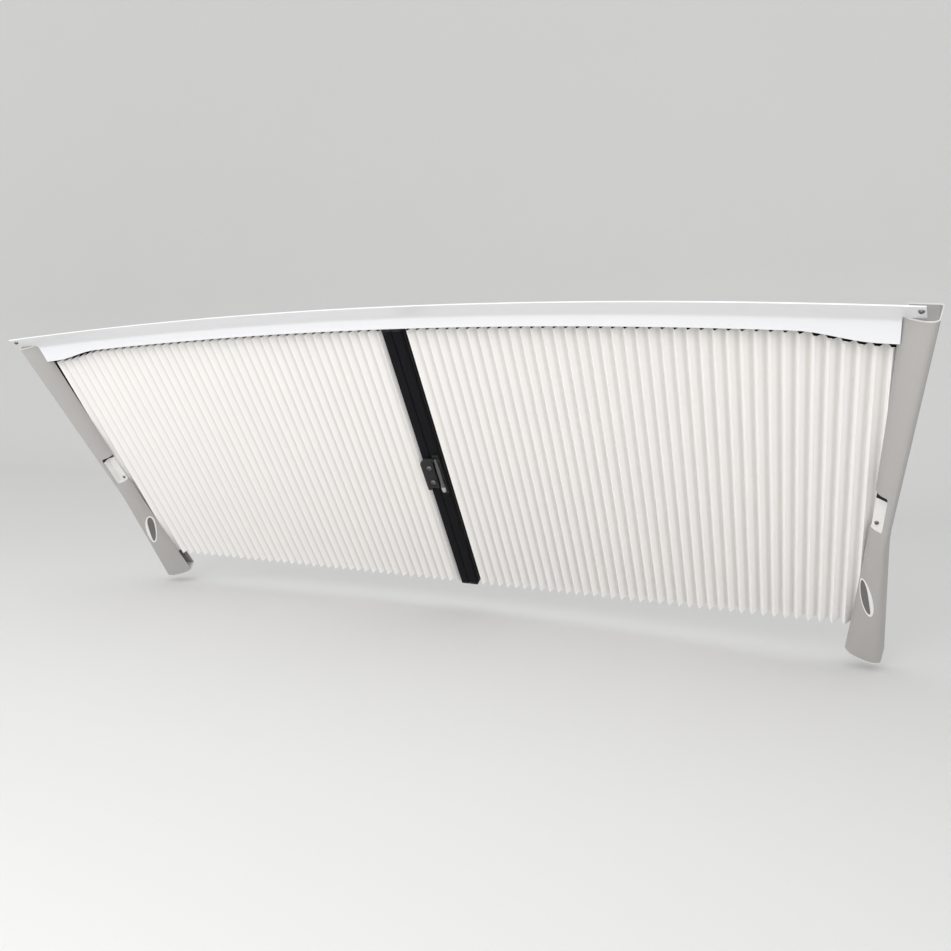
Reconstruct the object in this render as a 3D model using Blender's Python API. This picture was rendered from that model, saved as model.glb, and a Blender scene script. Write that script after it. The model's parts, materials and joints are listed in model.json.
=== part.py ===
"""Pleated cab blind for a windscreen, modelled in its fitted attitude.

Two half curtains with upright folds hang on runners in a curved top rail and close at two
bars in the middle. Every piece is placed by three numbers: s along the arc of the blind from
its middle (positive to the right), n towards the glass, and l down the slope of the glass.
The blind is part of a cylinder whose axis follows the slope, so a bar that slides along the
rail turns about that axis, and the bars' joints are hinges on it. Metres, +Z up, +Y forward.
"""
import math

import bmesh
import bpy
from mathutils import Vector

# Driving sizes: the whole blind
RAKE = math.radians(55)        # slope of the glass from the horizontal
ARC_RADIUS = 5.0               # radius of the blind's cylinder, at the middle of the fabric
GAP = 0.0003                   # space left between pieces that touch
SCREW_ROOM = 0.0003            # space round a screw in its hole

# Fabric
PLEAT_PITCH = 0.0201           # from one fold to the next of the same kind
PLEATS = 40                    # pleats in each half
PLEAT_DEPTH = 0.017            # from the front folds to the back folds
FABRIC = 0.0006                # thickness of the fabric
FOLD_FLAT = 0.0008             # half width of the small flat on each fold
TOP_EDGE, FLARE_SHARE = 0.0, 1.3    # upper edge in the middle, and how it follows the cover's flare
BOTTOM_EDGE = 0.639            # lower edge of the fabric in the middle
BOTTOM_RISE = 0.103            # how fast the lower edge climbs, per square metre of arc

# Closing bars: a C-shaped hollow profile, open towards the fabric
BAR_APART = 0.0012             # space between the two closed bars
BAR_WIDTH = 0.0194
BAR_DEPTH = 0.022
BAR_WALL = 0.0016
BAR_CORNER = 0.0025
BAR_TOP = 0.0003
BAR_SHORT = 0.005              # how far the bar ends above the fabric's lowest point
TOP_CAP, BOTTOM_CAP = 0.0087, 0.006
CAP_PROUD = 0.0002
GROOVE = 0.0044                # the slot that holds the fabric clip
CLIP_PROUD, CLIP_HEAD, CLIP_HEAD_THICK = 0.0006, 0.010, 0.0015
CLIP_INSET = 0.001             # how far the clip stays inside the bar's two ends
FABRIC_REACH = 0.0005          # from the clip to the fabric's middle line
MAGNET_LENGTH, MAGNET_WIDTH, MAGNET_THICK = 0.040, 0.010, 0.0035
MAGNET_PLACES = (0.110, 0.500)

# Guide rail: an upside-down channel with lips, and a rear apron against light
RAIL_WIDTH = 0.031
RAIL_BOTTOM, RAIL_HEIGHT = -0.013, 0.017
RAIL_WALL = 0.0015
SLOT_WIDTH = 0.021
RAIL_BEYOND = 0.0045           # how far the rail runs past the fabric's fixed edge
APRON_EDGE = 0.014             # lower edge of the apron in the middle

# Runners and carriages, which slide in the rail
RUNNING = 0.0003
RUNNER_LENGTH, RUNNER_HEIGHT = 0.014, 0.0094
TAB_WIDTH, TAB_THICK, TAB_END = 0.006, 0.0009, 0.010
CARRIAGE_LENGTH = 0.018
NECK_LENGTH, NECK_WIDTH = 0.014, 0.014
INSIDE = 0.002                 # how far a joined shape starts inside its carrier
STOP_LENGTH = 0.0097

# Top cover
FACE_CLEAR = 0.0045            # from the rail to the back of the cover's face
FACE_WALL = 0.002
FACE_BOTTOM, FACE_HEIGHT = -0.011, 0.0225
FLANGE_RUN, FLANGE_RISE, FLANGE_WALL = 0.033, 0.036, 0.0014
FACE_SHORT = 0.0005            # how far the face ends before the fabric's fixed edge
END_TAB, TAB_FROM = 0.029, 0.18     # the flange's tab beyond the face, and where it starts on the slope
FLARE_DROP, FLARE_RUN, FLARE_FLAT = 0.014, 0.110, 0.025
COVER_SCREW_FROM_END, COVER_SCREW_UP = 0.0055, 0.72

# Rail brackets
OUTER_BRACKET = 0.1055         # from the fabric's fixed edge to the outer bracket
BRACKET_WIDTH, BRACKET_PLATE = 0.040, 0.0025
BRACKET_RISE = 0.0080          # from the rail's top to the face that meets the vehicle
FOOT_LENGTH, FOOT_REAR = 0.0175, 0.0095
FOOT_HOLE, FOOT_HOLES_APART = 0.0046, 0.024
BRACKET_SCREW_AT = -0.0115     # in front of the foot, where a driver reaches it

# Catch plate on the left bar
CATCH_WIDTH, CATCH_OVERHANG, CATCH_THICK = 0.030, 0.005, 0.0072
CATCH_TOP, CATCH_LENGTH = 0.2935, 0.0705
CATCH_CORNER = 0.0015
CATCH_SCREW_INSET, CATCH_SCREWS_APART, CATCH_SCREW_ASIDE = 0.0105, 0.036, 0.0054

# Pull lever and its tray on the right bar
TRAY_ASIDE, TRAY_WIDTH, TRAY_THICK = 0.0052, 0.0138, 0.002
TRAY_TOP, TRAY_LENGTH = 0.276, 0.096
LEVER_PIVOT, LEVER_LENGTH = 0.010, 0.082    # pivot below the tray's top, and reach below the pivot
LEVER_WIDTH, LEVER_THICK, LEVER_HEAD = 0.0050, 0.0032, 0.0022
LEVER_ABOVE = 0.0026           # from the tray to the pin's axis
EAR_HALF, EAR_ABOVE, EAR_INSET = 0.004, 0.0020, 0.0002
PIN_RADIUS, PIN_LENGTH, PIN_ROOM = 0.0010, 0.0088, 0.0001

# Pillar housings
HOUSING_WALL = 0.002
EDGE_IN, EDGE_LEAN, EDGE_BEND = 0.0055, 0.031, 0.055       # inner edge against the fabric's fixed edge
HOUSING_WIDTH, OUTER_LEAN = 0.0455, 0.090                  # outer edge at the rail, and how it leans inwards
OUTER_TURN, OUTER_SPREAD = 0.37, 0.030                     # where it turns, and how it spreads below
HOUSING_ABOVE = 0.0059         # how far the housing stands above the rail
HOUSING_BELOW = 0.007          # how far the foot ends above the fabric's lowest point
HOUSING_FRONT = (              # share of the width, and reach towards the cabin
    (0.0, 0.0105), (0.03, 0.0140), (0.08, 0.0180), (0.16, 0.0220), (0.28, 0.0258),
    (0.42, 0.0290), (0.58, 0.0315), (0.74, 0.0330), (0.88, 0.0325), (0.96, 0.0300), (1.0, 0.0250),
)
REAR_LIP, REAR_CORNER = 0.006, 0.003
HOUSING_CAP, CAP_OVER = 0.0022, 0.0006
ANCHOR_THICK, ANCHOR_FRONT, ANCHOR_TOP, ANCHOR_SHORT = 0.0034, -0.006, 0.030, 0.003
NOTCH_TOP, NOTCH_LENGTH, NOTCH_WIDTH = 0.2655, 0.0665, 0.0205
PLATE_FRONT, PLATE_WALL, PLATE_INSET, PLATE_UNDER = 0.0118, 0.0018, 0.003, 0.004
FIXING_FROM_END, FIXING_ASIDE = 0.006, 0.0098
OVAL_ACROSS, OVAL_DOWN = 0.40, 0.481                       # share of the housing's width, and place down the slope
OVAL_LONG, OVAL_SHORT, OVAL_LEAN = 0.037, 0.0092, math.radians(12.5)
OVAL_BAND, OVAL_HEIGHT = 0.0016, 0.0016

# Screws: shaft radius, head radius, head height
COVER_SCREW = (0.0020, 0.0040, 0.0030)
BRACKET_SCREW = (0.0015, 0.0032, 0.0020)
CATCH_SCREW = (0.0018, 0.0054, 0.0034)
FIXING_SCREW = (0.0015, 0.0034, 0.0022)

# Places that follow from these sizes
BAR_NEAR, BAR_FAR = BAR_APART / 2, BAR_APART / 2 + BAR_WIDTH
BAR_MIDDLE, BAR_HALF = (BAR_NEAR + BAR_FAR) / 2, BAR_DEPTH / 2
BAR_BOTTOM = BOTTOM_EDGE - BAR_SHORT
FABRIC_START = BAR_FAR + CLIP_PROUD + FABRIC_REACH
FABRIC_END = FABRIC_START + PLEATS * PLEAT_PITCH
RAIL_HALF, RAIL_TOP, RAIL_END = RAIL_WIDTH / 2, RAIL_BOTTOM - RAIL_HEIGHT, FABRIC_END + RAIL_BEYOND
SLIDER_HALF = RAIL_HALF - RAIL_WALL - RUNNING
SLIDER_TOP, SLIDER_BOTTOM = RAIL_TOP + RAIL_WALL + RUNNING, RAIL_BOTTOM - RAIL_WALL - RUNNING
FACE_BACK = -(RAIL_HALF + FACE_CLEAR)
FACE_FRONT, FACE_TOP, FACE_END = FACE_BACK - FACE_WALL, FACE_BOTTOM - FACE_HEIGHT, FABRIC_END - FACE_SHORT
COVER_END = FACE_END + END_TAB
BRACKET_BASE = RAIL_TOP - GAP
BRACKET_FACE = BRACKET_BASE - BRACKET_RISE
FOOT_MIDDLE = FOOT_REAR - FOOT_LENGTH / 2
HOUSING_REAR = RAIL_HALF + GAP + HOUSING_WALL
HOUSING_TOP, HOUSING_BOTTOM = RAIL_TOP - HOUSING_ABOVE, BOTTOM_EDGE - HOUSING_BELOW
NOTCH_BOTTOM = NOTCH_TOP + NOTCH_LENGTH
BAR_FACE = BAR_HALF + GAP      # where what is fixed on a bar's front begins

COLOURS = {
    "cover_white": (0.80, 0.82, 0.84, 1), "fabric_white": (0.84, 0.82, 0.78, 1),
    "housing_grey": (0.50, 0.48, 0.45, 1), "insert_white": (0.76, 0.75, 0.72, 1),
    "bar_black": (0.012, 0.012, 0.014, 1), "cap_black": (0.02, 0.02, 0.022, 1),
    "rail_black": (0.03, 0.03, 0.032, 1), "runner_grey": (0.25, 0.25, 0.25, 1),
    "bracket_steel": (0.45, 0.45, 0.46, 1), "screw_steel": (0.30, 0.30, 0.31, 1),
    "magnet_steel": (0.55, 0.55, 0.56, 1), "lever_silver": (0.42, 0.42, 0.43, 1),
}

# Places in space. The origin is the middle of the centre bracket's face on the vehicle.
ACROSS = Vector((1, 0, 0))
OUTWARD = Vector((0, math.sin(RAKE), math.cos(RAKE)))
DOWN = Vector((0, math.cos(RAKE), -math.sin(RAKE)))
ORIGIN = OUTWARD * FOOT_MIDDLE + DOWN * BRACKET_FACE


def place(s, n, l):
    """The point at arc position s, n towards the glass and l down the slope."""
    a, r = s / ARC_RADIUS, ARC_RADIUS + n
    return ACROSS * (r * math.sin(a)) + OUTWARD * (r * math.cos(a) - ARC_RADIUS) + DOWN * l - ORIGIN


class Spot:
    """A flat frame that touches the arc at s: t along it, n towards the glass, l down."""

    def __init__(self, s):
        a = s / ARC_RADIUS
        self.at, self.s = place(s, 0, 0), s
        self.t = ACROSS * math.cos(a) - OUTWARD * math.sin(a)
        self.n = ACROSS * math.sin(a) + OUTWARD * math.cos(a)

    def __call__(self, t, n, l):
        return self.at + self.t * (t - self.s) + self.n * n + DOWN * l


def ease(x):
    x = min(1.0, max(0.0, x))
    return x * x * (3 - 2 * x)


def flare(s):
    """How far the cover's lower edge has dropped at arc position s."""
    return FLARE_DROP * ease((abs(s) - FACE_END + FLARE_FLAT + FLARE_RUN) / FLARE_RUN)


def bottom_edge(s):
    return BOTTOM_EDGE - BOTTOM_RISE * s * s


# Mesh helpers
def material(name):
    m = bpy.data.materials.get(name)
    if m is None:
        m = bpy.data.materials.new(name)
        m.use_nodes = True
        m.node_tree.nodes["Principled BSDF"].inputs["Base Color"].default_value = COLOURS[name]
        m.diffuse_color = COLOURS[name]
    return m


def finish(bm, name, slot):
    """Turn a bmesh into one named object with outward faces."""
    bm.normal_update()
    bmesh.ops.triangulate(bm, faces=[f for f in bm.faces if len(f.verts) > 4])
    bmesh.ops.recalc_face_normals(bm, faces=bm.faces)
    mesh = bpy.data.meshes.new(name)
    bm.to_mesh(mesh)
    bm.free()
    mesh.materials.append(material(slot))
    obj = bpy.data.objects.new(name, mesh)
    bpy.context.scene.collection.objects.link(obj)
    return obj


def loft(name, sections, slot, ring=False):
    """Join equal closed sections, one after the other. The ends close, or meet in a ring."""
    bm = bmesh.new()
    rows = [[bm.verts.new(p) for p in section] for section in sections]
    count = len(rows[0])
    for a, b in zip(rows, rows[1:] + rows[:1] if ring else rows[1:]):
        for i in range(count):
            j = (i + 1) % count
            bm.faces.new((a[i], a[j], b[j], b[i]))
    if not ring:
        bm.faces.new(rows[0])
        bm.faces.new(list(reversed(rows[-1])))
    return finish(bm, name, slot)


def prism(name, spot, outline, top, bottom, slot):
    """An outline of (t, n) points carried from top to bottom down the slope."""
    return loft(name, [[spot(t, n, l) for t, n in outline] for l in (top, bottom)], slot)


def block(name, spot, t, n, l, slot, corner=0.0):
    """A block between two values each of t, n and l, with its upright edges chamfered."""
    (t0, t1), (n0, n1), c = sorted(t), sorted(n), corner
    outline = [(t0, n0), (t1, n0), (t1, n1), (t0, n1)]
    if c:
        outline = [(t0 + c, n0), (t1 - c, n0), (t1, n0 + c), (t1, n1 - c),
                   (t1 - c, n1), (t0 + c, n1), (t0, n1 - c), (t0, n0 + c)]
    return prism(name, spot, outline, *sorted(l), slot)


def lathe(name, at, axis, profile, slot, sides=16):
    """A profile of (radius, height) points turned about an axis, closed at both ends."""
    turn = Vector(axis).to_track_quat("Z", "Y").to_matrix()
    ring = [Vector((math.cos(i * math.tau / sides), math.sin(i * math.tau / sides), 0)) for i in range(sides)]
    return loft(name, [[at + turn @ (p * r + Vector((0, 0, h))) for p in ring] for r, h in profile], slot)


def combine(obj, other, operation):
    """Take the other shape out of obj, or join it to obj, and remove the other."""
    m = obj.modifiers.new(operation, "BOOLEAN")
    m.operation, m.solver, m.object = operation, "EXACT", other
    bpy.context.view_layer.update()
    graph = bpy.context.evaluated_depsgraph_get()
    mesh = bpy.data.meshes.new_from_object(obj.evaluated_get(graph))
    obj.modifiers.clear()
    slot, obj.data = obj.data.materials[0], mesh
    mesh.materials.clear()
    mesh.materials.append(slot)
    bpy.data.objects.remove(other)


def cut(obj, cutter):
    combine(obj, cutter, "DIFFERENCE")


def add(obj, extra):
    combine(obj, extra, "UNION")


def screw(name, size, at, axis, depth, targets, sides=12):
    """A domed screw with its seat at a point and its head along axis, and its holes in the targets."""
    shaft, head, height = size
    for target in targets:
        cut(target, lathe("hole", at, axis, [(shaft + SCREW_ROOM, -depth - head), (shaft + SCREW_ROOM, head)],
                          "screw_steel", sides))
    profile = [(shaft, -depth), (shaft, GAP), (head, GAP), (head * 0.96, GAP + height * 0.4),
               (head * 0.72, GAP + height * 0.8), (head * 0.3, GAP + height)]
    return lathe(name, at, axis, profile, "screw_steel", sides)


def steps(a, b, count):
    return [a + (b - a) * i / count for i in range(count + 1)]


# Rail, cover and brackets
def guide_rail():
    w, i, b, lip = RAIL_HALF, RAIL_HALF - RAIL_WALL, RAIL_BOTTOM, SLOT_WIDTH / 2
    sections = []
    for s in steps(-RAIL_END, RAIL_END, 64):
        apron = APRON_EDGE + flare(s)
        outline = [(-w, RAIL_TOP), (w, RAIL_TOP), (w, apron), (i, apron), (i, b), (lip, b),
                   (lip, b - RAIL_WALL), (i, b - RAIL_WALL), (i, RAIL_TOP + RAIL_WALL), (-i, RAIL_TOP + RAIL_WALL),
                   (-i, b - RAIL_WALL), (-lip, b - RAIL_WALL), (-lip, b), (-w, b)]
        sections.append([place(s, n, l) for n, l in outline])
    return loft("guide_rail", sections, "rail_black")


def flange_point(share, lift=0.0):
    """A point (n, l) on the flange's underside, share of the way out, or lift above it."""
    return FACE_FRONT - FLANGE_RUN * share + lift, FACE_TOP - FLANGE_RISE * share - lift


def cover_section(s, lower):
    """The cover's outline at arc position s: a face down to lower, and the flange above it."""
    f, b, r = FACE_FRONT, FACE_BACK, FACE_WALL
    outline = [(f, lower), (f, FACE_TOP + r * 1.1), (f - r * 0.35, FACE_TOP + r * 0.3), flange_point(0.05),
               flange_point(1.0), flange_point(1.0, FLANGE_WALL), (b - r * 0.3, FACE_TOP - r * 1.1),
               (b, FACE_TOP - r * 0.5), (b, lower)]
    return [place(s, n, l) for n, l in outline]


def tab_section(s):
    """The outline beyond the face's ends, where only the flange goes on."""
    start = [TAB_FROM + 0.03 * k for k in range(4)]
    front = [flange_point(k) for k in start + [1.0]]
    back = [flange_point(k, FLANGE_WALL) for k in (1.0, *reversed(start[:3]))]
    return [place(s, n, l) for n, l in front + back]


def top_cover():
    sections = [cover_section(s, FACE_BOTTOM + flare(s)) for s in steps(-FACE_END, FACE_END, 72)]
    before = [tab_section(-COVER_END), tab_section(-FACE_END - GAP)]
    after = [tab_section(FACE_END + GAP), tab_section(COVER_END)]
    return loft("top_cover", before + sections + after, "cover_white")


def cover_screws(cover):
    """One screw through each end tab, square to the sloped flange."""
    for side, word in ((-1, "left"), (1, "right")):
        s = side * (COVER_END - COVER_SCREW_FROM_END)
        at = place(s, *flange_point(COVER_SCREW_UP))
        along = place(s, *flange_point(1.0)) - place(s, *flange_point(0.0))
        inward = Spot(s).t.cross(along).normalized()
        screw(f"cover_screw_{word}", COVER_SCREW, at, inward * -math.copysign(1, inward.dot(OUTWARD)),
              FLANGE_WALL * 3, [cover], 16)


def brackets(rail):
    """Five Z-shaped brackets on the rail, whose feet meet the vehicle."""
    half, p, base, top = BRACKET_WIDTH / 2, BRACKET_PLATE, BRACKET_BASE, BRACKET_FACE
    front, nose = FOOT_REAR - FOOT_LENGTH, FACE_BACK + GAP
    outline = [(nose, base), (FOOT_REAR, base), (FOOT_REAR, top), (front, top), (front, top + p),
               (FOOT_REAR - p, top + p), (FOOT_REAR - p, base - p), (nose, base - p)]
    for number in range(5):
        s = (FABRIC_END - OUTER_BRACKET) * (number - 2) / 2
        spot = Spot(s)
        sections = [[spot(t, n, l) for n, l in outline] for t in (s - half, s + half)]
        bracket = loft(f"rail_bracket_{number + 1}", sections, "bracket_steel")
        for aside in (-FOOT_HOLES_APART / 2, FOOT_HOLES_APART / 2):
            radius, hole = FOOT_HOLE / 2, spot(s + aside, FOOT_MIDDLE, top)
            cut(bracket, lathe("hole", hole, DOWN, [(radius, -p), (radius, 2 * p)], "screw_steel", 20))
        seat = spot(s, BRACKET_SCREW_AT, base - p)
        screw(f"bracket_screw_{number + 1}", BRACKET_SCREW, seat, -DOWN, p + GAP + RAIL_WALL, [bracket, rail])


def rail_end_stops():
    for side, word in ((-1, "left"), (1, "right")):
        end = RAIL_END - GAP
        block(f"rail_end_stop_{word}", Spot(side * end), (side * (end - STOP_LENGTH), side * end),
              (-SLIDER_HALF, SLIDER_HALF), (SLIDER_TOP, SLIDER_BOTTOM), "cap_black", 0.001)


# Fabric
def fold_line():
    """The fabric's middle line in one half, as (s, n) points: back folds first, then front folds."""
    line, half = [], PLEAT_DEPTH / 2
    for k in range(2 * PLEATS + 1):
        s, n = FABRIC_START + k * PLEAT_PITCH / 2, half if k % 2 == 0 else -half
        if k in (0, 2 * PLEATS):
            line.append((s, n))
        else:
            line += [(s - FOLD_FLAT, n), (s + FOLD_FLAT, n)]
    return line


def mitres(line):
    """For each point of an open line, the sideways direction that keeps an even thickness."""
    out = []
    for i, (x, y) in enumerate(line):
        before = Vector(line[i]) - Vector(line[i - 1]) if i else Vector(line[1]) - Vector(line[0])
        after = Vector(line[i + 1]) - Vector(line[i]) if i < len(line) - 1 else before
        m = (before.normalized() + after.normalized()).normalized()
        out.append(Vector((-m.y, m.x)) / max(0.5, m.dot(before.normalized())))
    return out


def pleated_curtain(side, word):
    """One half curtain: a zigzag wall, cut to the cover's flare above and to the dash below."""
    line, bm, rows = fold_line(), bmesh.new(), []
    for (s, n), m in zip(line, mitres(line)):
        row = []
        for reach in (FABRIC / 2, -FABRIC / 2):
            ss, nn = s + m.x * reach, n + m.y * reach
            row += [bm.verts.new(place(side * ss, nn, TOP_EDGE + FLARE_SHARE * flare(s))),
                    bm.verts.new(place(side * ss, nn, bottom_edge(s)))]
        rows.append(row)
    for a, b in zip(rows, rows[1:]):
        for i, j in ((0, 1), (1, 3), (3, 2), (2, 0)):
            bm.faces.new((a[i], a[j], b[j], b[i]))
    for row in (rows[0], rows[-1]):
        bm.faces.new((row[0], row[1], row[3], row[2]))
    return finish(bm, f"pleated_curtain_{word}", "fabric_white")


def runners(side, word):
    """Three runners at the quarters of the fabric. Each has a tab behind a back fold."""
    back = PLEAT_DEPTH / 2 + FABRIC / 2 + GAP
    for number in (1, 2, 3):
        s = FABRIC_END - PLEATS * PLEAT_PITCH * number / 4
        spot, half, tab = Spot(side * s), RUNNER_LENGTH / 2, TAB_WIDTH / 2
        body = block(f"runner_{word}_{number}", spot, (side * s - half, side * s + half), (-SLIDER_HALF, SLIDER_HALF),
                     (SLIDER_BOTTOM - RUNNER_HEIGHT, SLIDER_BOTTOM), "runner_grey", 0.001)
        add(body, block("tab", spot, (side * s - tab, side * s + tab), (back, back + TAB_THICK),
                        (SLIDER_BOTTOM - INSIDE, TAB_END + flare(s)), "runner_grey"))


# Closing bars
def bar_outline(grow=0.0, hollow=True):
    """The bar's section as (t, n) points on the right half: the C shape, or its filled outline."""
    a, b, h, c, g, w = BAR_NEAR - grow, BAR_FAR + grow, BAR_HALF + grow, BAR_CORNER, GROOVE / 2, BAR_WALL
    outline = [(a, -h + c * 0.4), (a + c * 0.4, -h), (b - c, -h), (b - c * 0.3, -h + c * 0.3), (b, -h + c)]
    if hollow:
        outline += [(b, -g), (b - w, -g), (b - w, -h + w + c * 0.4), (b - w - c * 0.4, -h + w), (a + w, -h + w),
                    (a + w, h - w), (b - w - c * 0.4, h - w), (b - w, h - w - c * 0.4), (b - w, g), (b, g)]
    return outline + [(b, h - c), (b - c, h), (a + c * 0.4, h), (a, h - c * 0.4)]


def closing_bar(side, word):
    """A black bar with its end caps, carriage, fabric clip and magnets."""
    spot = Spot(side * BAR_MIDDLE)
    flip = lambda outline: [(side * t, n) for t, n in outline]
    bar = prism(f"closing_bar_{word}", spot, flip(bar_outline()), BAR_TOP, BAR_BOTTOM, "bar_black")
    whole = bar_outline(CAP_PROUD, False)
    prism(f"bar_top_cap_{word}", spot, flip(whole), BAR_TOP - GAP - TOP_CAP, BAR_TOP - GAP, "cap_black")
    small = [(BAR_MIDDLE + (t - BAR_MIDDLE) * 0.86, n * 0.82) for t, n in whole]
    low = BAR_BOTTOM + GAP
    sections = ((whole, low), (whole, low + BOTTOM_CAP * 0.6), (small, low + BOTTOM_CAP))
    loft(f"bar_bottom_cap_{word}", [[spot(t, n, l) for t, n in flip(line)] for line, l in sections], "cap_black")
    carriage(side, word, spot)
    fabric_clip(side, word, spot)
    for number, l in enumerate(MAGNET_PLACES, 1):
        m, e, t = MAGNET_WIDTH / 2, MAGNET_LENGTH / 2, BAR_NEAR + GAP
        cut(bar, block("pocket", spot, (side * (BAR_NEAR - INSIDE), side * (t + MAGNET_THICK + GAP)),
                       (-m - GAP, m + GAP), (l - e - GAP, l + e + GAP), "bar_black"))
        block(f"magnet_{word}_{number}", spot, (side * t, side * (t + MAGNET_THICK)), (-m, m), (l - e, l + e),
              "magnet_steel")


def carriage(side, word, spot):
    """The block that slides in the rail, with a neck down to the bar's top cap."""
    middle, half, neck = side * BAR_MIDDLE, CARRIAGE_LENGTH / 2, NECK_LENGTH / 2
    body = block(f"bar_carriage_{word}", spot, (middle - half, middle + half), (-SLIDER_HALF, SLIDER_HALF),
                 (SLIDER_TOP, SLIDER_BOTTOM), "runner_grey", 0.001)
    add(body, block("neck", spot, (middle - neck, middle + neck), (-NECK_WIDTH / 2, NECK_WIDTH / 2),
                    (SLIDER_BOTTOM - INSIDE, BAR_TOP - 2 * GAP - TOP_CAP), "runner_grey"))


def fabric_clip(side, word, spot):
    """A T-shaped strip whose head lies in the bar and whose leg holds the fabric's edge."""
    g, h = GROOVE / 2 - GAP, CLIP_HEAD / 2
    inner, outer, face = BAR_FAR - BAR_WALL - GAP - CLIP_HEAD_THICK, BAR_FAR - BAR_WALL - GAP, BAR_FAR + CLIP_PROUD
    outline = [(inner, -h), (outer, -h), (outer, -g), (face, -g), (face, g), (outer, g), (outer, h), (inner, h)]
    prism(f"fabric_clip_{word}", spot, [(side * t, n) for t, n in outline], BAR_TOP + CLIP_INSET,
          BAR_BOTTOM - CLIP_INSET, "cap_black")


def catch_plate():
    """The plate on the left bar and its two domed screws."""
    spot, far = Spot(-BAR_MIDDLE), -(BAR_FAR + CATCH_OVERHANG)
    face = -(BAR_FACE + CATCH_THICK)
    plate = block("catch_plate", spot, (far, far + CATCH_WIDTH), (-BAR_FACE, face),
                  (CATCH_TOP, CATCH_TOP + CATCH_LENGTH), "cap_black", CATCH_CORNER)
    for number in (0, 1):
        at = spot(far + CATCH_WIDTH / 2 + CATCH_SCREW_ASIDE, face,
                  CATCH_TOP + CATCH_SCREW_INSET + number * CATCH_SCREWS_APART)
        screw(f"catch_screw_{number + 1}", CATCH_SCREW, at, -spot.n, CATCH_THICK / 2, [plate], 16)


def pull_lever():
    """A shallow tray on the right bar, and the lever that turns on a pin near the tray's top."""
    spot, near, far = Spot(BAR_MIDDLE), BAR_NEAR + TRAY_ASIDE, BAR_NEAR + TRAY_ASIDE + TRAY_WIDTH
    middle, face, pivot = (near + far) / 2, -(BAR_FACE + TRAY_THICK), TRAY_TOP + LEVER_PIVOT
    axis, half = face - LEVER_ABOVE, LEVER_WIDTH / 2
    tray = block("lever_tray", spot, (near, far), (-BAR_FACE, face), (TRAY_TOP, TRAY_TOP + TRAY_LENGTH), "cap_black",
                 TRAY_THICK * 0.3)
    for t0, t1 in ((near + EAR_INSET, middle - half - GAP), (middle + half + GAP, far - EAR_INSET)):
        add(tray, block("ear", spot, (t0, t1), (face + TRAY_THICK / 2, axis - EAR_ABOVE),
                        (pivot - EAR_HALF, pivot + EAR_HALF), "cap_black"))
    at, bore = spot(middle, axis, pivot), PIN_RADIUS + PIN_ROOM
    ends = ((bore, -TRAY_WIDTH), (bore, TRAY_WIDTH))
    cut(tray, lathe("bore", at, spot.t, ends, "cap_black"))
    lathe("lever_pin", at, spot.t, [(PIN_RADIUS, -PIN_LENGTH / 2), (PIN_RADIUS, PIN_LENGTH / 2)], "screw_steel")
    lever = loft("latch_lever", [[spot(t, axis + n, pivot + l) for l, n in lever_side()]
                                 for t in (middle - half, middle + half)], "lever_silver")
    cut(lever, lathe("bore", at, spot.t, ends, "lever_silver"))


def lever_side():
    """The lever's side view as (l, n) points from its pivot: a round head and a thicker tip."""
    h, r, e = LEVER_THICK / 2, LEVER_HEAD, LEVER_LENGTH
    head = [(-r * math.cos(math.radians(a)), -r * math.sin(math.radians(a))) for a in (0, 30, 60, 90)]
    blade = [(e - 0.012, -h), (e - 0.006, -h - 0.0012), (e - 0.001, -h - 0.0006), (e, 0.0), (e - 0.001, h),
             (r * 2.5, h)]
    back = [(r * math.sin(math.radians(a)), r * math.cos(math.radians(a))) for a in (30, 0, -50)]
    return head + blade + back


# Pillar housings
def inner_edge(l):
    return FABRIC_END - EDGE_IN - EDGE_LEAN * l - EDGE_BEND * l * l


def outer_edge(l):
    """The housing's outer edge: it leans inwards, then turns and spreads a little to the foot."""
    below = max(0.0, l - OUTER_TURN)
    return FABRIC_END - EDGE_IN + HOUSING_WIDTH - OUTER_LEAN * (l - below) + OUTER_SPREAD * below


def housing_outline(l):
    """The outer line of the C-shaped section, from the front lip round to the rear lip, as (t, n)."""
    a, b, r, c = inner_edge(l), outer_edge(l), HOUSING_REAR, REAR_CORNER
    line = [(a + (b - a) * x, -d) for x, d in HOUSING_FRONT]
    return line + [(b, r - c), (b - c * 0.3, r - c * 0.3), (b - c, r), (a + REAR_LIP, r)]


def shifted(line, distance):
    """The line moved sideways, towards the inside of the C."""
    return [(t + m.x * distance, n + m.y * distance) for (t, n), m in zip(line, mitres(line))]


def on_front(l, t):
    """How far the housing's front stands towards the cabin at t and l."""
    a, b = inner_edge(l), outer_edge(l)
    x = min(1.0, max(0.0, (t - a) / (b - a)))
    for (x0, d0), (x1, d1) in zip(HOUSING_FRONT, HOUSING_FRONT[1:]):
        if x <= x1:
            return d0 + (d1 - d0) * (x - x0) / (x1 - x0)
    return HOUSING_FRONT[-1][1]


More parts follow.
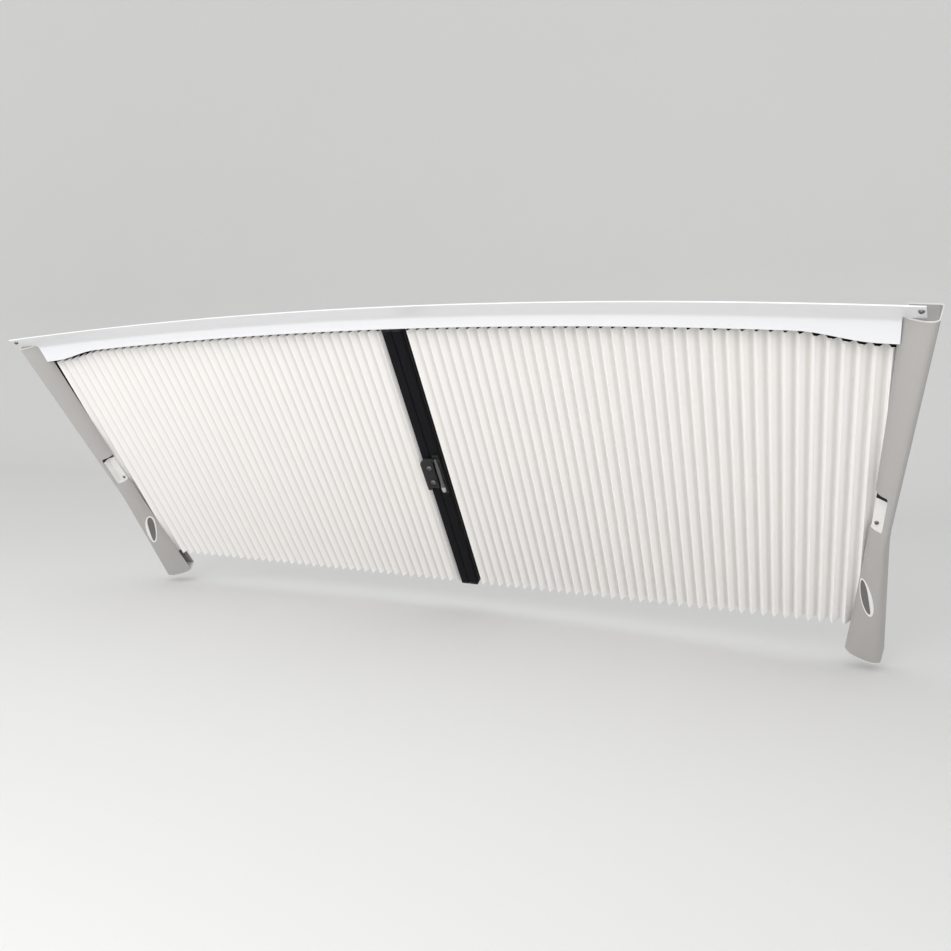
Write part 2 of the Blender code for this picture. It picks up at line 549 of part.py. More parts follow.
def pillar_housing(side, word):
    """A shell that opens towards the fabric, with room for the rail and a cut-out for its fixing."""
    spot = Spot(side * FABRIC_END)
    sections = []
    for l in steps(HOUSING_TOP, HOUSING_BOTTOM, 16):
        outer = housing_outline(l)
        sections.append([spot(side * t, n, l) for t, n in outer + list(reversed(shifted(outer, HOUSING_WALL)))])
    shell = loft(f"pillar_housing_{word}", sections, "housing_grey")
    room = 2 * GAP
    cut(shell, block("rail_room", spot, (side * (inner_edge(0) - 2 * REAR_LIP), side * (RAIL_END + room)),
                     (-RAIL_HALF - room, RAIL_HALF + GAP / 2), (RAIL_TOP - room, RAIL_BOTTOM + room), "housing_grey"))
    notch = [[spot(side * t, n, l) for t, n in (
        (inner_edge(l) - NOTCH_WIDTH, -0.05), (inner_edge(l) + NOTCH_WIDTH, -0.05),
        (inner_edge(l) + NOTCH_WIDTH, -HOUSING_FRONT[0][1] + 1.5 * HOUSING_WALL),
        (inner_edge(l) - NOTCH_WIDTH, -HOUSING_FRONT[0][1] + 1.5 * HOUSING_WALL))] for l in (NOTCH_TOP, NOTCH_BOTTOM)]
    cut(shell, loft("notch", notch, "housing_grey"))
    fixing_plate(side, word, spot)
    housing_ends(side, word, spot)
    oval_bezel(side, word, spot)
    edge = FABRIC_END + FABRIC / 2 + GAP
    block(f"pleat_anchor_{word}", spot, (side * edge, side * (edge + ANCHOR_THICK)),
          (ANCHOR_FRONT, HOUSING_REAR - HOUSING_WALL - GAP), (ANCHOR_TOP, bottom_edge(FABRIC_END) - ANCHOR_SHORT),
          "cap_black")


def fixing_plate(side, word, spot):
    """The pale plate in the housing's cut-out, with a side wall up to the front and a screw."""
    sections, wall, f = [], PLATE_WALL, PLATE_FRONT
    for l in (NOTCH_TOP - PLATE_UNDER, NOTCH_BOTTOM + PLATE_UNDER):
        near, far = inner_edge(l) + PLATE_INSET, inner_edge(l) + NOTCH_WIDTH + PLATE_WALL + 2 * GAP
        rim = -(on_front(l, far - wall) - HOUSING_WALL - 3 * GAP)
        outline = [(near, wall - f), (near, -f), (far - wall, -f), (far - wall, rim), (far, rim), (far, wall - f)]
        sections.append([spot(side * t, n, l) for t, n in outline])
    plate = loft(f"fixing_plate_{word}", sections, "insert_white")
    l = NOTCH_BOTTOM - FIXING_FROM_END
    screw(f"fixing_screw_{word}", FIXING_SCREW, spot(side * (inner_edge(l) + FIXING_ASIDE), -f, l), -spot.n, wall,
          [plate])


def housing_ends(side, word, spot):
    """Flat caps that close the housing's two ends."""
    top, bottom = HOUSING_TOP - GAP, HOUSING_BOTTOM + GAP
    for name, l, ends in ((f"housing_cap_{word}", top, (top - HOUSING_CAP, top)),
                          (f"housing_foot_{word}", bottom, (bottom, bottom + HOUSING_CAP))):
        outline = [(side * t, n) for t, n in shifted(housing_outline(l), -CAP_OVER)]
        prism(name, spot, outline, *ends, "housing_grey")


def oval_bezel(side, word, spot):
    """A raised oval ring that follows the housing's front, low down."""
    inner, outer = inner_edge(OVAL_DOWN), outer_edge(OVAL_DOWN)
    rings, middle = [], inner + (outer - inner) * OVAL_ACROSS
    for a in steps(0, math.tau, 40)[:-1]:
        ring = []
        for out, lift in ((0.0, GAP), (OVAL_BAND, GAP), (OVAL_BAND * 0.8, OVAL_HEIGHT), (OVAL_BAND * 0.2, OVAL_HEIGHT)):
            u, v = (OVAL_SHORT + out) * math.cos(a), (OVAL_LONG + out) * math.sin(a)
            t = middle + u * math.cos(OVAL_LEAN) + v * math.sin(OVAL_LEAN)
            l = OVAL_DOWN - u * math.sin(OVAL_LEAN) + v * math.cos(OVAL_LEAN)
            ring.append(spot(side * t, -on_front(l, t) - lift - GAP, l))
        rings.append(ring)
    loft(f"oval_bezel_{word}", rings, "insert_white", ring=True)


# The whole blind
def build():
    for obj in list(bpy.data.objects):
        bpy.data.objects.remove(obj)
    rail = guide_rail()
    brackets(rail)
    cover_screws(top_cover())
    rail_end_stops()
    for side, word in ((-1, "left"), (1, "right")):
        pleated_curtain(side, word)
        runners(side, word)
        closing_bar(side, word)
        pillar_housing(side, word)
    catch_plate()
    pull_lever()


build()
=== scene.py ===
# %% [markdown]
# # A pleated cab blind
#
# This lesson dresses the solids of a windscreen blind for a van's cab. The blind hangs under the roof
# and slopes forward with the glass. Two half curtains with upright folds close at black bars in the
# middle. When it is open, the folds stack in the housings on the two pillars.
#
# The solids already have the right sizes and places. This script gives them their looks: real folds, soft
# edges, and a finish on each surface. We load the solids and keep their box.

# %% Load the solids
import json
import math

import bmesh
import bpy
from mathutils import Matrix, Vector

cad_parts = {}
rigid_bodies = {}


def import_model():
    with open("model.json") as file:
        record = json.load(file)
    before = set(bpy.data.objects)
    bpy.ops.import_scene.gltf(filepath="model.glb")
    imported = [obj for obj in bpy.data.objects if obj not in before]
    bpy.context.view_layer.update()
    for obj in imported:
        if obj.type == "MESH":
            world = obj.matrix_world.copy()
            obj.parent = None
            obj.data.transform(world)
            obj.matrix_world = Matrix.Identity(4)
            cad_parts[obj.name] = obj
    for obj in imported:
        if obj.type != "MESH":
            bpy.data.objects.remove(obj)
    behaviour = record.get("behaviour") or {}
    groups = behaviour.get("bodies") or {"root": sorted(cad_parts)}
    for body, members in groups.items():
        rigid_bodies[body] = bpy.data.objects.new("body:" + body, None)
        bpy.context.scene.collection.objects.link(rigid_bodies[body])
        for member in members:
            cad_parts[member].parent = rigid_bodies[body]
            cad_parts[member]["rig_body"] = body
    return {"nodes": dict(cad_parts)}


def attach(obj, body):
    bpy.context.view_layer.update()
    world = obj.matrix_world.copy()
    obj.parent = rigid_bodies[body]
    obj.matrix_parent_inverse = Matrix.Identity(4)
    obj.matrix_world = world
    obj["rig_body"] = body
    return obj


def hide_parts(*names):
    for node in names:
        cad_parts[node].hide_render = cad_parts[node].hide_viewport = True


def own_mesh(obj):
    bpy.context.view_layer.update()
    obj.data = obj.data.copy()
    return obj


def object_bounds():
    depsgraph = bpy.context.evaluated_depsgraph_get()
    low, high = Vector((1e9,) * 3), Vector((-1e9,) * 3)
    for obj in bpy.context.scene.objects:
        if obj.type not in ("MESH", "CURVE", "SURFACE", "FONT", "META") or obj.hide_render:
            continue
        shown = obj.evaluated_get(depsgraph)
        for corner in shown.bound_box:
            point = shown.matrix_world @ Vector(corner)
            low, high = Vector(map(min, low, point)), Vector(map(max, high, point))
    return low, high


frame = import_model()
solid_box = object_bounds()
solids = frame["nodes"]
SIDES = ((-1, "left"), (1, "right"))
print("solids:", len(solids), "box:", [round(x, 3) for corner in solid_box for x in corner])

# %% [markdown]
# ## Three numbers for each place
#
# The blind is part of a large cylinder, so X, Y and Z are awkward to think in. We use three others: s
# runs along the arc from the middle, n points to the glass, and l runs down the slope. One function turns
# them into metres in space. A small class gives a flat frame that touches the arc at one place, for
# straight pieces.

# %% Places on the blind
RAKE = math.radians(55)
ARC_RADIUS = 5.0
FOOT_MIDDLE, BRACKET_FACE = 0.00075, -0.0383
ACROSS = Vector((1, 0, 0))
OUTWARD = Vector((0, math.sin(RAKE), math.cos(RAKE)))
DOWN = Vector((0, math.cos(RAKE), -math.sin(RAKE)))
ORIGIN = OUTWARD * FOOT_MIDDLE + DOWN * BRACKET_FACE


def place(s, n, l):
    a, r = s / ARC_RADIUS, ARC_RADIUS + n
    return ACROSS * (r * math.sin(a)) + OUTWARD * (r * math.cos(a) - ARC_RADIUS) + DOWN * l - ORIGIN


class Spot:
    """A flat frame that touches the arc at s: t along it, n towards the glass, l down."""

    def __init__(self, s):
        a = s / ARC_RADIUS
        self.at, self.s = place(s, 0, 0), s
        self.t = ACROSS * math.cos(a) - OUTWARD * math.sin(a)
        self.n = ACROSS * math.sin(a) + OUTWARD * math.cos(a)

    def __call__(self, t, n, l):
        return self.at + self.t * (t - self.s) + self.n * n + DOWN * l


print("top of the fabric, in the middle:", [round(x, 3) for x in place(0, 0, 0)])

# %% [markdown]
# ## The camera
#
# The picture was taken from the seats, a little right of the middle and level with the lower half of the
# blind. The lens is a moderate wide angle. We make the camera first, because every later choice is
# judged through it.

# %% Camera
CAMERA_AT = Vector((0.753, -1.289, -0.174)) - ORIGIN
YAW, PITCH, ROLL = math.radians(24.33), math.radians(3.47), math.radians(1.19)
LENS = 30.6


def put(name, data):
    """A new object in the scene."""
    obj = bpy.data.objects.new(name, data)
    bpy.context.scene.collection.objects.link(obj)
    return obj


camera = put("camera", bpy.data.cameras.new("camera"))
bpy.context.scene.camera = camera
camera.data.lens, camera.data.sensor_width = LENS, 36
camera.data.clip_start = 0.01
turn = Matrix.Rotation(YAW, 3, "Z") @ Matrix.Rotation(math.pi / 2 - PITCH, 3, "X")
camera.matrix_world = Matrix.Translation(CAMERA_AT) @ (turn @ Matrix.Rotation(ROLL, 3, "Z")).to_4x4()
print("camera at:", [round(x, 3) for x in CAMERA_AT], "lens:", LENS, "mm")

# %% [markdown]
# ## Writing node trees as sums
#
# Shaders and Geometry Nodes are both trees of nodes. Linking them by hand takes many lines, so this cell
# defines a number that remembers its socket. Adding or multiplying two such numbers adds a Math node.
# The trees in the later cells then read like the formula that they stand for.

# %% Numbers that build nodes
class Number:
    """An output socket that can be used in ordinary sums."""

    def __init__(self, tree, socket):
        self.tree, self.socket = tree, socket

    def math(self, operation, other=0.0):
        return self.tree.add("ShaderNodeMath", {0: self, 1: other}, operation=operation)

    def __add__(self, other):
        return self.math("ADD", other)

    def __sub__(self, other):
        return self.math("SUBTRACT", other)

    def __mul__(self, other):
        return self.math("MULTIPLY", other)

    def __truediv__(self, other):
        return self.math("DIVIDE", other)


class Tree:
    """Any node tree. add() makes a node, sets its inputs and gives back one of its outputs."""

    def __init__(self, group):
        self.group = group

    def add(self, kind, inputs=None, output=0, **settings):
        node = self.group.nodes.new(kind)
        for name, value in settings.items():
            setattr(node, name, value)
        for name, value in (inputs or {}).items():
            self.feed(node.inputs[name], value)
        return Number(self, node.outputs[output])

    def feed(self, socket, value):
        if isinstance(value, Number):
            self.group.links.new(value.socket, socket)
        else:
            socket.default_value = value

    def split(self, vector):
        """The X and Y of a vector."""
        node = self.group.nodes.new("ShaderNodeSeparateXYZ")
        self.feed(node.inputs[0], vector)
        return Number(self, node.outputs[0]), Number(self, node.outputs[1])


# %% [markdown]
# ## Running Geometry Nodes from a script
#
# A Geometry Nodes tree gets named inputs for its sizes and ends in Realize Instances and Set Material.
# We put it on an object as a modifier, set the inputs by their identifiers, and turn the result into a
# plain mesh. The modifier is then removed, so ordinary geometry stays. The empty material slot that an
# object without a material starts with goes as well.

# %% Geometry Nodes helper
SOCKETS = ((int, "NodeSocketInt"), (float, "NodeSocketFloat"), (bpy.types.Material, "NodeSocketMaterial"),
           (bpy.types.Object, "NodeSocketObject"))


def settle(obj):
    """Apply the object's modifiers."""
    graph = bpy.context.evaluated_depsgraph_get()
    graph.update()
    mesh = bpy.data.meshes.new_from_object(obj.evaluated_get(graph))
    obj.modifiers.clear()
    obj.data = mesh
    return obj


def modify(obj, kind, **settings):
    """Give the object a modifier with these settings, and apply it."""
    modifier = obj.modifiers.new(kind, kind)
    for name, value in settings.items():
        setattr(modifier, name, value)
    return settle(obj)


class Shape(Tree):
    """A Geometry Nodes tree. sizes are its named inputs with their first values."""

    def __init__(self, name, sizes):
        super().__init__(bpy.data.node_groups.new(name, "GeometryNodeTree"))
        face = self.group.interface
        face.new_socket("Geometry", in_out="INPUT", socket_type="NodeSocketGeometry")
        face.new_socket("Geometry", in_out="OUTPUT", socket_type="NodeSocketGeometry")
        for label, value in sizes.items():
            kind = next(kind for sort, kind in SOCKETS if isinstance(value, sort))
            face.new_socket(label, in_out="INPUT", socket_type=kind)
        self.sizes, self.given = dict(sizes), self.group.nodes.new("NodeGroupInput").outputs

    def __getitem__(self, label):
        return Number(self, self.given[label])

    def end(self, geometry):
        """Close the tree: plain geometry with its material."""
        real = self.add("GeometryNodeRealizeInstances", {"Geometry": geometry})
        done = self.add("GeometryNodeSetMaterial", {"Geometry": real, "Material": self["Material"]})
        self.feed(self.group.nodes.new("NodeGroupOutput").inputs[0], done)
        return self

    def run(self, obj, **sizes):
        """Put the tree on the object with these sizes and keep what it makes as the object's mesh."""
        modifier = obj.modifiers.new(self.group.name, "NODES")
        modifier.node_group = self.group
        for item in self.group.interface.items_tree:
            if item.name in self.sizes:
                modifier[item.identifier] = {**self.sizes, **sizes}[item.name]
        settle(obj)
        if obj.data.materials[0] is None:
            obj.data.materials.pop(index=0)
        return obj


# %% [markdown]
# ## Finishes
#
# No real surface has one flat colour. Moulded plastic has a fine grain, drawn bars show faint lines, and
# zinc is cloudy. Each finish below is a Principled shader with three kinds of detail: a soft change of
# colour, a change of roughness, and a bump. All patterns read Object coordinates that are turned to
# follow the slope, so they keep their scale and stay on the piece. Pictures wrapped round the pieces would
# do as well, but patterns made of nodes need no unwrapping and stay sharp from close by.

# %% Finish helper
class Finish(Tree):
    """A material whose colour, roughness and relief are built up in steps."""

    def __init__(self, name, colour, roughness, **sockets):
        self.material = bpy.data.materials.new(name)
        self.material.use_nodes = True
        super().__init__(self.material.node_tree)
        self.shader = self.group.nodes["Principled BSDF"]
        self.shader.inputs["Base Color"].default_value = (*colour, 1)
        self.shader.inputs["Roughness"].default_value = roughness
        for label, value in sockets.items():
            self.shader.inputs[label.replace("_", " ")].default_value = value
        self.colour, self.roughness, self.relief = colour, roughness, None
        where = self.add("ShaderNodeTexCoord", output="Object")
        self.where = self.add("ShaderNodeVectorRotate", {"Vector": where, "Angle": math.pi / 2 - RAKE},
                              rotation_type="X_AXIS")
        print("finish:", name)

    def noise(self, size, stretch=(1, 1, 1), detail=2.0, where=None):
        """Clouds of about this size in metres. stretch makes them longer along s, n or the slope."""
        scale = Vector([1 / (size * k) for k in stretch])
        at = self.add("ShaderNodeMapping", {"Vector": where or self.where, "Scale": scale})
        return self.add("ShaderNodeTexNoise", {"Vector": at, "Scale": 1.0, "Detail": detail})

    def tint(self, pattern, low, high):
        """Multiply the colour by low where the pattern is 0 and by high where it is 1."""
        node = self.group.nodes.new("ShaderNodeMix")
        node.data_type, node.clamp_factor = "VECTOR", True
        self.feed(node.inputs["Factor"], pattern)
        node.inputs[4].default_value, node.inputs[5].default_value = low, high
        mix = Number(self, node.outputs[1])
        base = self.colour if isinstance(self.colour, Number) else Vector(self.colour)
        self.colour = self.add("ShaderNodeVectorMath", {0: base, 1: mix}, operation="MULTIPLY")
        self.feed(self.shader.inputs["Base Color"], self.colour)
        return self

    def rough(self, pattern, change):
        """Let the roughness go up and down by this much with the pattern."""
        self.feed(self.shader.inputs["Roughness"], (pattern - 0.5) * (2 * change) + self.roughness)
        return self

    def bump(self, height, depth, strength=1.0):
        """Add relief. depth is its real height in metres."""
        inputs = {"Height": height, "Distance": depth, "Strength": strength}
        if self.relief:
            inputs["Normal"] = self.relief
        self.relief = self.add("ShaderNodeBump", inputs)
        self.feed(self.shader.inputs["Normal"], self.relief)
        return self


# %% [markdown]
# ### Plastics
#
# The cover is a smooth satin white with a cool tone. The housings are a light warm grey with the fine
# leather-like grain that car trim has. The small black pieces have a finer, duller mould texture. One
# function makes them all: a wide soft cloud for the tone, and two sizes of noise for the grain.

# %% Plastic finishes
def plastic(name, colour, roughness, grain, depth, tone=0.02, **sockets):
    f = Finish(name, colour, roughness, **sockets)
    dark, light = (1 - tone,) * 3, (1 + tone,) * 3
    f.tint(f.noise(0.09, detail=3.0), dark, light)
    fine = f.noise(grain, detail=3.0)
    f.tint(fine, dark, light)
    f.rough(f.noise(0.02), 0.05)
    f.bump(fine, depth)
    f.bump(f.noise(0.05), depth * 2)
    return f.material


cover_white = plastic("cover_white", (0.80, 0.805, 0.82), 0.30, 0.0016, 0.00003, 0.01)
housing_grey = plastic("housing_grey", (0.405, 0.392, 0.38), 0.62, 0.0009, 0.00010, 0.03)
# Lit and shaded copies of the housing's grey for the housing ends: a painted highlight on the rims and
# painted shade on the recessed faces.
rim_grey = plastic("rim_grey", (0.66, 0.65, 0.635), 0.45, 0.0009, 0.00005)
recess_grey = plastic("recess_grey", (0.30, 0.29, 0.28), 0.75, 0.0008, 0.00008)
# The inlay's dark grey is painted shade, standing in for the shade inside the recessed oval.
inlay_grey = plastic("inlay_grey", (0.15, 0.145, 0.14), 0.80, 0.0010, 0.00012, 0.08)
insert_white = plastic("insert_white", (0.78, 0.775, 0.755), 0.42, 0.0012, 0.00003)
cap_black = plastic("cap_black", (0.012, 0.012, 0.013), 0.46, 0.0007, 0.00006, 0.06, Specular_IOR_Level=0.35)
runner_grey = plastic("runner_grey", (0.16, 0.16, 0.165), 0.50, 0.0010, 0.00004)

# %% [markdown]
# ### Metals
#
# The bars and the rail are black anodised aluminium, drawn through a die, so their faint lines run along
# their length. They are noise that is stretched 150 times along one direction. The brackets are zinc
# plated, with a cloudy bloom, and the pull lever is a dull silver with a brighter tip.

# %% Metal finishes
def anodised(name, colour, roughness, lines):
    f = Finish(name, colour, roughness, Specular_IOR_Level=0.11)
    drawn = f.noise(0.0006, lines, 2.0)
    f.tint(drawn, (0.8,) * 3, (1.25,) * 3)
    f.rough(drawn, 0.08)
    f.bump(drawn, 0.00001)
    f.bump(f.noise(0.0005, detail=1.0), 0.00003)
    return f.material


def plated(name, colour, roughness, cloud):
    f = Finish(name, colour, roughness, Metallic=1.0)
    f.tint(f.noise(cloud, detail=4.0), (0.82, 0.83, 0.86), (1.08, 1.06, 1.02))
    f.rough(f.noise(cloud / 3, detail=3.0), 0.10)
    f.bump(f.noise(0.0008, detail=2.0), 0.00002)
    return f.material


bar_black = anodised("bar_black", (0.0045, 0.0045, 0.0060), 0.55, (1, 1, 150))
rail_black = anodised("rail_black", (0.009, 0.009, 0.010), 0.60, (150, 1, 1))
bracket_zinc = plated("bracket_zinc", (0.50, 0.50, 0.51), 0.38, 0.012)
screw_steel = plated("screw_steel", (0.20, 0.20, 0.21), 0.32, 0.004)
magnet_nickel = plated("magnet_nickel", (0.60, 0.59, 0.57), 0.22, 0.006)
lever_silver = plated("lever_silver", (0.19, 0.19, 0.195), 0.42, 0.006)
tip_silver = plated("tip_silver", (0.66, 0.66, 0.67), 0.36, 0.006)

# %% [markdown]
# ### Pleated cloth
#
# The fabric is a thin polyester weave, close to white with a warm tone. From a step away one sees soft clouds
# of warmer and cooler white. Each fold also carries painted shade: the cloth is painted darker in the
# glass-side part of the fold and a little lighter on the rest, standing in for the shade that falls into the
# folds. Close up there are threads. The pattern must follow the cloth round its folds, so it reads a UV map
# that holds the flat cloth's own metres. The Geometry Nodes tree further down writes that map, and the
# painted fold shade as well.

# %% Cloth finish
THREAD = 0.00045


def cloth():
    f = Finish("pleated_cloth", (0.92, 0.906, 0.888), 0.9, Sheen_Weight=0.1, Sheen_Roughness=0.6)
    flat = f.add("ShaderNodeUVMap", uv_map="cloth")
    across, along = f.split(flat)
    f.tint(f.noise(0.11, detail=2.0), (0.99, 0.99, 1.0), (1.01, 1.01, 1.0))
    f.tint(f.noise(0.004, (1, 30, 1), 2.0, flat), (0.985,) * 3, (1.015,) * 3)
    f.tint(f.noise(0.0035, (12, 1, 1), 2.0, flat), (0.985,) * 3, (1.015,) * 3)
    # Painted shade: this tint makes the cloth darker in the glass-side part of each fold and a little lighter
    # on the rest, standing in for the shade that falls into the folds.
    crease = f.add("ShaderNodeAttribute", output="Fac", attribute_name="crease")
    f.tint(crease, (1.03,) * 3, (0.87, 0.865, 0.86))
    warp = (across * (math.tau / THREAD)).math("SINE")
    weft = (along * (math.tau / THREAD)).math("SINE")
    f.bump(warp * weft, 0.00004)
    f.bump(f.noise(0.006, detail=3.0, where=flat), 0.00025)
    return f.material


cloth_white = cloth()

# %% [markdown]
# ## Making a piece
#
# Each finished piece needs the same last steps: shade its round parts smooth, give it its finish, hide the
# solid that it stands for, and let it ride on the body that the solid rides on. The next cell does this once.
# It also rounds off edges, because a real edge has a small radius that catches the light.

# %% Helpers for pieces
def body_of(node):
    return solids[node]["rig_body"]


def new_object(name, verts, faces, material=None):
    mesh = bpy.data.meshes.new(name)
    mesh.from_pydata(verts, [], faces)
    if material:
        mesh.materials.append(material)
    return put(name, mesh)


def outward(obj):
    bm = bmesh.new()
    bm.from_mesh(obj.data)
    bmesh.ops.recalc_face_normals(bm, faces=bm.faces)
    bm.to_mesh(obj.data)
    bm.free()
    return obj


def soften(obj, degrees):
    """Shade the round parts smooth, and keep the edges that are sharper than this."""
    obj.data.shade_smooth()
    obj.data.set_sharp_from_angle(angle=math.radians(degrees))
    return obj


def round_edges(obj, width, degrees=35):
    """Round each edge that is sharper than the angle."""
    obj.data.shade_smooth()
    return modify(obj, "BEVEL", width=width, segments=2, limit_method="ANGLE",
                  angle_limit=math.radians(degrees), harden_normals=True)


def hand_in(obj, node, slot, *more, body=None):
    """The piece stands in for its solids, which are hidden, and rides on their body. slot is not used."""
    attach(obj, body or body_of(node))
    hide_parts(node, *more)
    print(f"{obj.name}: {len(obj.data.polygons)} faces")


def loft(name, sections, material, ring=False):
    """Join closed sections of equal length, one after the other, into one closed skin."""
    count = len(sections[0])
    verts = [p for section in sections for p in section]
    faces = []
    for k in range(len(sections) if ring else len(sections) - 1):
        a, b = k * count, (k + 1) % len(sections) * count
        faces += [(a + i, a + (i + 1) % count, b + (i + 1) % count, b + i) for i in range(count)]
    if not ring:
        last = len(verts) - count
        faces += [tuple(range(count)), tuple(range(last, last + count))]
    return outward(new_object(name, verts, faces, material))


def rounded(outline, radius, steps=4):
    """A closed outline of (x, y) points with its corners turned into arcs. radius: one, or one each."""
    radii, out = radius if isinstance(radius, (list, tuple)) else [radius] * len(outline), []
    for i, p in enumerate(outline):
        p, a, b = Vector(p), Vector(outline[i - 1]), Vector(outline[(i + 1) % len(outline)])
        r = min(radii[i], (a - p).length * 0.49, (b - p).length * 0.49)
        if r < 1e-6:
            out.append(tuple(p))
            continue
        start, stop = p + (a - p).normalized() * r, p + (b - p).normalized() * r
        for k in range(steps + 1):
            x = k / steps
            out.append(tuple(start * (1 - x) ** 2 + p * (2 * x * (1 - x)) + stop * x * x))
    return out


def steps_between(a, b, count):
    return [a + (b - a) * i / count for i in range(count + 1)]


# %% [markdown]
# ## The fabric
#
# The fabric is pressed into folds of equal width. A cloth simulation could fold it, but never so evenly.
# Its shape follows a rule, so Geometry Nodes make it. A flat grid is bent in three steps. Its columns are
# laid along the arc, the fold wave moves them towards the glass or the cabin, and its rows are stretched
# from the cover's lower edge to the hem, which climbs towards the sides.
#
# The fold is an arcsine of a cosine: a zigzag whose tips are a little round, as pressed cloth is. Noise
# lets the tip of each fold stray by a fraction of a millimetre, because no real pleat is perfect.
#
# The cloth's own metres and the depth that the painted fold shade reads are stored before the grid is bent.
# The order matters, because a field reads the place that each point has at that moment.
#
# Each half is four strips, one for each runner and one that is fixed to the housing. When the bar slides, the
# runners share out the way, and each of the three runner strips moves with its runner.
# The strips meet in the middle of a flat panel, where the light sees no seam.

# %% The pleat tree
PLEAT_PITCH, PLEAT_DEPTH, PLEATS, STRIPS = 0.0201, 0.017, 40, 4
FABRIC_START = 0.0211
FABRIC_END = FABRIC_START + PLEATS * PLEAT_PITCH
TOP_EDGE, BOTTOM_EDGE, BOTTOM_RISE = 0.0, 0.639, 0.103
FACE_END, FLARE_DROP, FLARE_RUN, FLARE_FLAT = FABRIC_END - 0.0005, 0.014, 0.110, 0.025
# At each end the fabric's top edge follows the cover's flare: its share of the drop, and how much earlier.
FLARE_SHARE, FLARE_EARLY = {-1: 0.92, 1: 1.25}, {-1: 0.0, 1: 0.014}
CLOTH_THICK, COLUMNS, ROWS = 0.0005, 16, 36
TIP = 0.985                 # 1 would be a sharp fold
STRAY, FOLD_SEED = 0.0010, 7.37     # the seed keeps the folds apart in the noise
# The painted shade in the folds uses these two shares of the fold's depth.
PAINTED_SHADE_FROM, PAINTED_SHADE_TO = 0.42, 0.78  # shares of the depth where the crease's shade begins and is full
PANEL = math.hypot(PLEAT_PITCH / 2, PLEAT_DEPTH)


def pleat_tree():
    t = Shape("Pleats", {
        "Pleats": PLEATS / STRIPS, "Columns per pleat": COLUMNS, "Rows": ROWS, "Side": 1.0,
        "Start": FABRIC_START, "First fold": FABRIC_START, "Pitch": PLEAT_PITCH, "Depth": PLEAT_DEPTH,
        "Tip": TIP, "Radius": ARC_RADIUS, "Top": TOP_EDGE, "Bottom": BOTTOM_EDGE, "Rise": BOTTOM_RISE,
        "Flare": FLARE_DROP, "Early": 0.0, "Stray": STRAY, "Material": cloth_white})
    columns = t["Pleats"] * t["Columns per pleat"] + 1
    grid = t.add("GeometryNodeMeshGrid", {"Size X": 1.0, "Size Y": 1.0,
                                          "Vertices X": columns, "Vertices Y": t["Rows"]})
    u, v = [x + 0.5 for x in t.split(t.add("GeometryNodeInputPosition"))]

    s = t["Start"] + u * t["Pleats"] * t["Pitch"]
    phase = (s - t["First fold"]) / t["Pitch"] * math.tau
    wave = (phase.math("COSINE") * t["Tip"]).math("ARCSINE") / t["Tip"].math("ARCSINE")
    side_s, at_tip = s * t["Side"], (wave * -1.0 + 1.0) * 0.5
    fold = (phase / math.tau).math("FLOOR") * t["Side"] * FOLD_SEED

    def stray(waves, seed):
        """A small deviation that differs for each fold and changes slowly along it."""
        at = t.add("ShaderNodeCombineXYZ", {"X": fold, "Y": v * waves, "Z": seed})
        noise = t.add("ShaderNodeTexNoise", {"Vector": at, "Scale": 1.0, "Detail": 1.0})
        return (noise - 0.5) * t["Stray"] * at_tip

    n, along = wave * t["Depth"] * 0.5 + stray(2.2, 0.43), s + stray(1.6, 7.3)

    flare_end = FACE_END - FLARE_FLAT
    flare = t.add("ShaderNodeMapRange", {"Value": s + t["Early"], "From Min": flare_end - FLARE_RUN,
                                         "From Max": flare_end, "To Min": 0.0, "To Max": t["Flare"]},
                  interpolation_type="SMOOTHSTEP")
    top, hem = flare + t["Top"], s * s * t["Rise"] * -1.0 + t["Bottom"]
    l = top + (hem - top) * v
    angle, reach = along * t["Side"] / t["Radius"], n + t["Radius"]
    flat = t.add("ShaderNodeCombineXYZ", {"X": angle.math("SINE") * reach,
                                          "Y": angle.math("COSINE") * reach - t["Radius"], "Z": l * -1.0})
    tilted = t.add("ShaderNodeVectorRotate", {"Vector": flat, "Angle": math.pi / 2 - RAKE},
                   rotation_type="X_AXIS")
    spot = t.add("ShaderNodeVectorMath", {0: tilted, 1: ORIGIN}, operation="SUBTRACT")

    metres = t.add("ShaderNodeCombineXYZ", {"X": side_s / t["Pitch"] * (2 * PANEL), "Y": l})
    mapped = t.add("GeometryNodeStoreNamedAttribute", {"Geometry": grid, "Name": "cloth", "Value": metres},
                   data_type="FLOAT2", domain="CORNER")
    # Painted shade: each point stores how deep it lies in its fold, and the cloth finish paints the deep part
    # darker.
    deep = (wave + 1.0) * 0.5
    crease = t.add("ShaderNodeMapRange", {"Value": deep, "From Min": PAINTED_SHADE_FROM, "From Max": PAINTED_SHADE_TO},
                   interpolation_type="SMOOTHSTEP")
    marked = t.add("GeometryNodeStoreNamedAttribute", {"Geometry": mapped, "Name": "crease", "Value": crease},
                   data_type="FLOAT", domain="POINT")
    return t.end(t.add("GeometryNodeSetPosition", {"Geometry": marked, "Position": spot}))


pleats = pleat_tree()
print("pleat tree:", len(pleats.group.nodes), "nodes")

# %% [markdown]
# Each strip is one run of the tree.

# %% Strips of fabric
STRIP = (FABRIC_END - FABRIC_START) / STRIPS
SEAM = PLEAT_PITCH / 4  # from a runner's fold to the seam in the panel beside it


